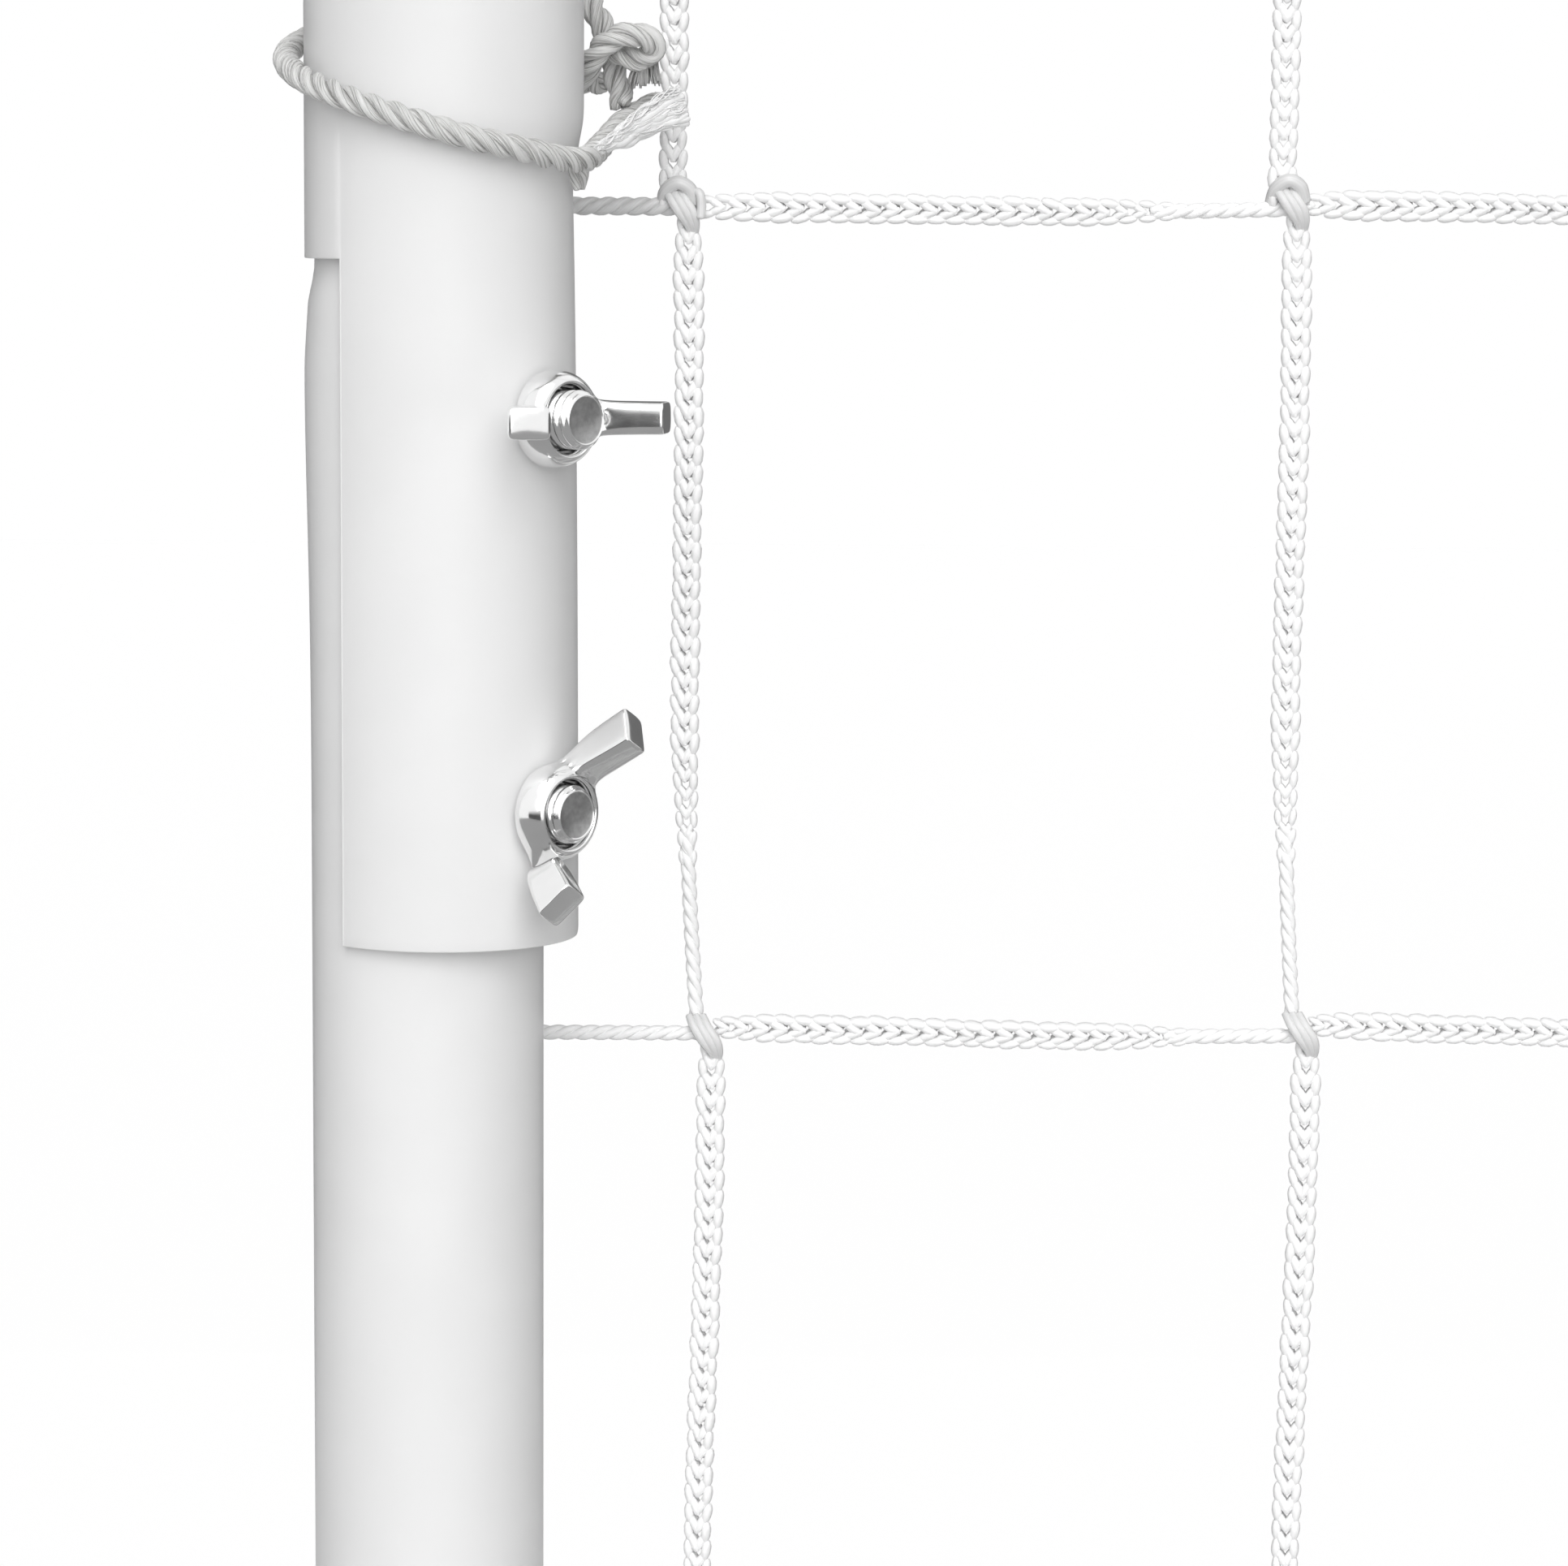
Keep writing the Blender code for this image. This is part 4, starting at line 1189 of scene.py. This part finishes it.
def add_open_end(bundle, line):
    """The rope's opened end: wavy locks and loose fibres that fan out and stop at one cut."""
    rng = np.random.default_rng(8)
    tangents, out, _ = carried_frames(line)
    down = unit(np.array((0.0, 0.0, -1.0)) - tangents * -tangents[:, 2:3])
    count = len(line)

    def strand(first, last, low, forward, wave, waves, phase):
        """A wavy line from one share of the end to another, and the shares of its length."""
        begin = int(count * first)
        finish = max(begin + 6, int(count * last))
        share = np.linspace(0, 1, finish - begin)
        swing = wave * np.sin(share * waves * math.pi + phase)
        drop = down[begin:finish] * (low * share**0.6 + swing)[:, None]
        return line[begin:finish] + drop + out[begin:finish] * (forward + 0.4 * swing)[:, None], share

    for number in range(LOCKS):
        first = rng.uniform(0.0, 0.45)
        low = rng.uniform(-0.0030 * min(1.0, first / 0.30), 0.0025)
        last = 1.0 if low < 0.0014 or number % 4 else rng.uniform(0.70, 0.95)
        wave = rng.uniform(0.00025, 0.00085)
        forward = rng.uniform(0.0002, 0.0012)
        places, share = strand(first, last, low, forward, wave, rng.uniform(2, 5), rng.uniform(0, 6))
        swell = 0.35 + 0.65 * np.sin(math.pi * np.clip(share * 0.8 + 0.06, 0, 1))
        bundle.tube(places, rng.uniform(0.00042, 0.00086) * swell, 8)
    for _ in range(LOOSE_FIBRES):
        first = rng.uniform(0.0, 0.7)
        low = rng.uniform(-0.0032 * min(1.0, first / 0.3), 0.0028)
        last = rng.uniform(0.9, 1.0)
        forward = rng.uniform(0.0008, 0.0018)
        places, _ = strand(first, last, low, forward, 0.0005, rng.uniform(2, 7), rng.uniform(0, 6))
        bundle.tube(places[::2], FIBRE_RADIUS, 5)


def add_brush(bundle, path):
    """A cut end whose fibres have opened to a flat fan of locks with uneven ends."""
    rng = np.random.default_rng(3)
    along = np.linspace(0, 1, len(path))
    middle = (BRUSH_LOCKS - 1) / 2
    for lock in range(BRUSH_LOCKS):
        aside = (lock - middle) / middle
        cut = rng.uniform(0.82, 1.0)
        for _ in range(LOCK_FIBRES):
            across = (0.0010 + 0.0018 * along) * aside + rng.normal(0, 0.00016)
            behind = (0.0010 + 0.0002 * along) * rng.uniform(-1, 1)
            line = path + np.stack([across, behind, np.zeros(len(path))], 1)
            line = line[: max(4, int(len(line) * (cut + rng.uniform(-0.04, 0.04))))]
            bundle.tube(line, FIBRE_RADIUS, 5)


def wound_end(radius, offset, height):
    """A rope's end that comes from the net's middle and goes once round a pole, on the left."""
    places = []
    for step in range(4):
        share = step / 4
        x = WIND_START + (offset - WIND_START) * share
        places.append((x, NET_BACK + (radius - NET_BACK) * smooth_step(share), height))
    steps = 48
    for step in range(steps + 1):
        turn = WIND_TURN * step / steps + math.pi / 2
        x = offset + radius * math.cos(turn)
        places.append((x, radius * math.sin(turn), height - WIND_DROP * step / steps))
    return places


def add_edge_rope(node, radius, offset, height):
    """The rope along the top or the bottom of the net, wound round both poles."""
    left = [(x - POLE_X, y, z) for x, y, z in wound_end(radius, offset, height)]
    right = [(-x, y, z) for x, y, z in left]
    inner = POLE_X - 0.20
    middle = [(inner * (step / 8 - 1), NET_BACK, height) for step in range(17)]
    corners = left[::-1] + middle + right
    rope = Bundle()
    rope.lay(smooth_route(corners, 0.0013), 7, 1)
    rope.piece(node + "_strands", FIBRE, "left_mast", node, "twisted_rope")


def add_side_rope(side, sign, top, bottom):
    x = sign * (SIDE_ROPE_X - POLE_X)
    rope = Bundle()
    rope.lay(respaced(np.array([(x, NET_BACK, top), (x, NET_BACK, bottom)]), 0.0012), 8, 1)
    node = side + "_side_rope"
    rope.piece(node + "_strands", FIBRE, "left_mast", node, "twisted_rope")


# Net cords


def crossing(column, row):
    """Where two net cords cross, as (x, z)."""
    share = 2 * column / COLUMNS - 1
    bow = SIDE_BOW * math.sin(math.pi * row / ROWS)
    end = min(column, COLUMNS - column)
    height = NET_TOP - row * MESH_HEIGHT - END_DROP * math.exp(-1.4 * end)
    return share * (COLUMNS * MESH_WIDTH / 2 - bow), height


def lobe_shape(rings, around):
    """A rounded lobe of unit size, long along its first axis, with triangles as its faces."""
    points = [(-1.0, 0.0, 0.0)]
    for ring in range(1, rings + 1):
        angle = math.pi * ring / (rings + 1)
        for step in range(around):
            turn = 2 * math.pi * (step + 0.5 * (ring % 2)) / around
            wide = math.sin(angle)
            points.append((-math.cos(angle), wide * math.cos(turn), wide * math.sin(turn)))
    points.append((1.0, 0.0, 0.0))
    last = len(points) - 1
    top = last - around
    faces = []
    for step in range(around):
        after = (step + 1) % around
        faces.append((0, 1 + after, 1 + step))
        faces.append((last, top + step, top + after))
        for ring in range(rings - 1):
            low = 1 + ring * around
            high = low + around
            if ring % 2 == 0:
                faces.append((low + step, low + after, high + step))
                faces.append((low + after, high + after, high + step))
            else:
                faces.append((low + step, low + after, high + after))
                faces.append((low + step, high + after, high + step))
    points = np.array(points)
    turns = np.arctan2(points[:, 2], points[:, 1]) / (2 * math.pi) + 0.5
    return points, np.array(faces), np.stack([turns, points[:, 0] * 0.5], 1)


FINE_LOBE = lobe_shape(7, 10)
TIE_LOBE = lobe_shape(3, 7)
PLAIN_LOBE = lobe_shape(2, 5)


def add_lobes(bundle, shape, centres, longs, acrosses, deeps):
    """Copies of a lobe, each given its centre and its three half axes."""
    points, faces, uvs = shape
    axes = np.stack([longs, acrosses, deeps], 1)
    placed = np.einsum("vk,nkd->nvd", points, axes) + centres[:, None]
    copies = np.arange(len(centres))
    numbers = (copies * len(points))[:, None, None] + faces[None]
    all_uvs = np.tile(uvs, (len(centres), 1)) + np.repeat(copies * 0.37, len(points))[:, None]
    bundle.add(placed.reshape(-1, 3), [], all_uvs, numbers.reshape(-1, 3))


def knitted(bundle, places, near, rng, full):
    """A knitted cord along the places: chevrons in front and behind and a loop at each side.
    The chevrons turn slowly round the cord. Unless it is full it narrows to a twist, and far
    from the camera it is only a row of plain chevrons."""
    places = respaced(places, STITCH)
    tangents = unit(np.gradient(places, axis=0))
    share = np.linspace(0, 1, len(places))
    size = np.clip(0.74 + 0.13 * np.arange(len(places)), 0, 1) * (1.12 - 0.08 * share)
    if not full:
        keep = share < TWIST_START + 0.04
        places, tangents, share, size = places[keep], tangents[keep], share[keep], size[keep]
        narrow = np.clip((share - TWIST_START + 0.14) / 0.19, 0, 1)
        size = size * (1 - 0.42 * narrow**1.4)
    size = size * (1 + rng.normal(0, 0.025, len(size)))
    front = np.array((0.0, -1.0, 0.0))
    side = unit(np.cross(tangents, front))
    wind = 4 + 12 * np.sin(math.pi * np.clip(share * 1.2, 0, 1))
    roll = (np.radians(wind) + rng.normal(0, 0.05, len(size)))[:, None]
    out_way = front * np.cos(roll) + side * np.sin(roll)
    side = np.cross(tangents, out_way)

    def scaled(way, amount):
        return way * (amount * size)[:, None]

    def slanted(slant, way):
        """The directions along and across a lobe that leans towards the cord's middle."""
        cosine = np.cos(slant)[:, None]
        sine = np.sin(slant)[:, None]
        return tangents * cosine - side * (way * sine), side * (way * cosine) + tangents * sine

    for way in (-1, 1):
        aside, outward, length, width, depth = CHEVRON if near else PLAIN_CHEVRON
        along, across = slanted(CHEVRON_SLANT + rng.normal(0, 0.05, len(size)), way)
        for out in (1, -1) if near else (0,):
            centres = places + scaled(side, aside * way) + scaled(out_way, outward * out)
            longs = scaled(along, length) + scaled(out_way, CHEVRON_LEAN * out)
            shape = FINE_LOBE if near else PLAIN_LOBE
            add_lobes(bundle, shape, centres, longs, scaled(across, width), scaled(out_way, depth))
        if near:
            aside, outward, length, width, depth = SIDE_LOOP
            along, _ = slanted(LOOP_SLANT + rng.normal(0, 0.06, len(size)), way)
            centres = places + tangents * (STITCH * 0.45) + scaled(side, aside * way)
            centres = centres + scaled(out_way, outward)
            lobe = scaled(along, length), scaled(side, width), scaled(out_way, depth)
            add_lobes(bundle, FINE_LOBE, centres, *lobe)


def twisted_cord(bundle, places, near, size=1.0):
    places = respaced(places, 0.0006 if near else 0.0022)
    sides = 9 if near else 4
    bundle.lay(places, sides, -1, size=size, lay=TWIST_LAY, path=TWIST_PATH, radius=TWIST_RADIUS)


def sagging(start, end, across, lean):
    """A cord's line between two crossings, drawn a little aside."""
    share = np.linspace(0, 1, 60)
    line = start + (end - start) * share[:, None]
    aside = lean[0] * np.sin(math.pi * share) + lean[1] * np.sin(2 * math.pi * share)
    return line + across * aside[:, None]


def add_span(bundle, line, near, rng, full=False):
    knitted(bundle, line, near, rng, full)
    if not full:
        twisted_cord(bundle, line[int(len(line) * TWIST_START) :], near)


def at_crossing(corners, x, z):
    """A smooth route at a crossing, from corners in millimetres."""
    centre = np.array((x, NET_BACK, z))
    return smooth_route([centre + np.array(corner) * MILLIMETRE for corner in corners], 0.0003)


def add_join(bundle, x, z, near, looped):
    """The tie where cords cross: a band of three yarns that runs down to the right, and on the
    upper rows a loop over it. Far from the camera it is one lobe."""
    if not near:
        lobe = ((x - 0.0004, NET_BACK, z), (0.0010, 0.0, -0.0036), (0.0021, 0.0, 0.0008), (0.0, -0.0024, 0.0))
        add_lobes(bundle, TIE_LOBE, *(np.array([vector]) for vector in lobe))
        return
    if looped:
        bundle.tube(at_crossing(TIE_LOOP, x, z), TIE_LOOP_RADIUS, 12)
    for across, size in ((-1.2, 0.9), (0.0, 1.0), (1.2, 0.9)):
        band = [(a + across * share, b, c) for (a, b, c), share in zip(TIE_BAND, TIE_BAND_SPREAD)]
        route = at_crossing(band, x, z)
        swell = 0.45 + 0.55 * np.sin(np.linspace(0.6, math.pi - 0.4, len(route)))
        bundle.tube(route, TIE_BAND_RADIUS * size * swell, 11)


def add_ring(bundle, centre, first, second):
    """A turn of yarn round a rope and the cord beside it."""
    turns = np.linspace(0, 2 * math.pi, 19)[:, None]
    places = np.array(centre) + np.cos(turns) * np.array(first) + np.sin(turns) * np.array(second)
    bundle.tube(places, RING_RADIUS, 6)


def nearness(columns, rows):
    """The crossings given, as those near the camera and then the others."""
    every = [(column, row) for column in columns for row in rows]
    near = [spot for spot in every if spot[0] < NEAR_COLUMNS and spot[1] < NEAR_ROWS]
    return ((True, near), (False, [spot for spot in every if spot not in near]))


def add_upright(column, ties):
    """An upright cord of the net and its ties to the rows and the edge ropes."""
    rng = np.random.default_rng(100 + column)
    for near, spots in nearness([column], range(ROWS + 1)):
        cords = Bundle()
        for _, row in spots:
            x, z = crossing(column, row)
            if row < ROWS:
                below_x, below_z = crossing(column, row + 1)
                start = np.array((x, NET_BACK, z - 0.0014))
                end = np.array((below_x - 0.0026, NET_BACK, below_z + 0.0026))
                line = sagging(start, end, np.array((1.0, 0.0, 0.0)), UPRIGHT_LEAN if row else TOP_LEAN)
                add_span(cords, line, near, rng, full=row == 0)
            add_join(ties[near], x, z, near, row < 2)
            if row in (0, ROWS):
                half = ROPE_STEP / 2
                centre = (x, NET_BACK, z + (half if row == 0 else -half))
                add_ring(ties[near], centre, (0.0004, 0.0034, 0.0), (0.0004, 0.0, half + RING_REACH))
        if cords.count:
            name = "net_upright_%02d_%s" % (column, "fine" if near else "plain")
            cords.piece(name, YARN, "left_mast", "net", "net_cord")


def add_row(row, ties):
    """A level cord of the net, twisted where it runs on to the side ropes."""
    rng = np.random.default_rng(200 + row)
    for near, spots in nearness(range(COLUMNS + 1), [row]):
        cords = Bundle()
        for column, _ in spots:
            if column < COLUMNS:
                x, z = crossing(column, row)
                next_x, next_z = crossing(column + 1, row)
                start = np.array((x + 0.0016, NET_BACK, z + (0.0011 if row > 1 else 0.0)))
                end = np.array((next_x - 0.0008, NET_BACK, next_z - 0.0008))
                line = sagging(start, end, np.array((0.0, 0.0, 1.0)), ROW_LEAN)
                add_span(cords, line, near, rng)
        for column, sign in ((0, 1), (COLUMNS, -1)):
            if 0 < row < ROWS and (column, row) in spots:
                add_row_end(cords, ties[near], column, row, sign, near)
        if cords.count:
            name = "net_row_%d_%s" % (row, "fine" if near else "plain")
            cords.piece(name, YARN, "left_mast", "net", "net_cord")


def add_row_end(cords, ties, column, row, sign, near):
    """A row's end, tied to the side rope. Beside the lashing it is thicker and of tie yarn."""
    x, z = crossing(column, row)
    rope_x = sign * (SIDE_ROPE_X - POLE_X)
    stub = [(rope_x, NET_BACK + 0.0020, z), (rope_x + sign * 0.003, NET_BACK, z), (x, NET_BACK, z)]
    if row == 1:
        twisted_cord(ties, np.array(stub), near, 1.2)
    else:
        twisted_cord(cords, np.array(stub), near)
    for rise, tilt in ((0.0, 0.0003), (0.0015, -0.0003)):
        add_ring(ties, (rope_x, NET_BACK, z + rise), (RING_REACH, 0.0, tilt), (0.0, RING_REACH, -tilt))


def add_net():
    ties = {True: Bundle(), False: Bundle()}
    for column in range(COLUMNS + 1):
        add_upright(column, ties)
    for row in range(ROWS + 1):
        add_row(row, ties)
    ties[True].tube(at_crossing(TIE_CUT_END, *crossing(0, 1)), TIE_CUT_RADIUS, 10)
    for near, name in ((True, "net_ties_fine"), (False, "net_ties_plain")):
        ties[near].piece(name, TIE, "left_mast", "net", "net_cord")


# The whole model


def add_pole(side, sign, cage):
    add_base_socket(side, sign)
    add_foot(side, sign)
    add_lower_tube(side, sign)
    add_middle_tube(side, sign)
    add_upper_tube(side, sign)
    add_top_cap(side, sign)
    mast = side + "_mast"
    add_bolt(side + "_upper_bolt", sign, mast, UPPER_BOLT, UPPER_BOLT_END)
    add_bolt(side + "_lower_bolt", sign, mast, LOWER_BOLT, LOWER_BOLT_END)
    add_bolt(side + "_base_bolt", sign, "base", BASE_BOLT, BASE_BOLT_END, BASE_HEAD_END, AXIS_OFFSET)
    nuts = (
        ("upper", UPPER_BOLT, UPPER_NUT_TURN, 0.0),
        ("lower", LOWER_BOLT, LOWER_NUT_TURN, 0.0),
        ("base", BASE_BOLT, BASE_NUT_TURN, AXIS_OFFSET),
    )
    for place, height, spin, offset in nuts:
        start = side + "_" + place
        add_wing_nut(start + "_wing_nut", cage, sign, start + "_nut", height, spin, offset)
    add_lashing(side, sign)


def main():
    cage = wing_nut_cage()
    for side, sign in SIDES.items():
        add_pole(side, sign, cage)
    add_rail()
    add_net()
    head = NET_TOP + ROPE_STEP
    foot = NET_TOP - ROWS * MESH_HEIGHT - END_DROP - ROPE_STEP
    add_edge_rope("head_rope", UPPER_RADIUS + ROPE_RADIUS + WIND_GAP, 0.0, head)
    add_edge_rope("foot_rope", LOWER_RADIUS + ROPE_RADIUS + WIND_GAP, AXIS_OFFSET, foot)
    clearance = 2 * ROPE_RADIUS + GAP
    for side, sign in SIDES.items():
        add_side_rope(side, sign, head - WIND_DROP - clearance, foot + clearance)
    add_camera()
    add_studio()


main()
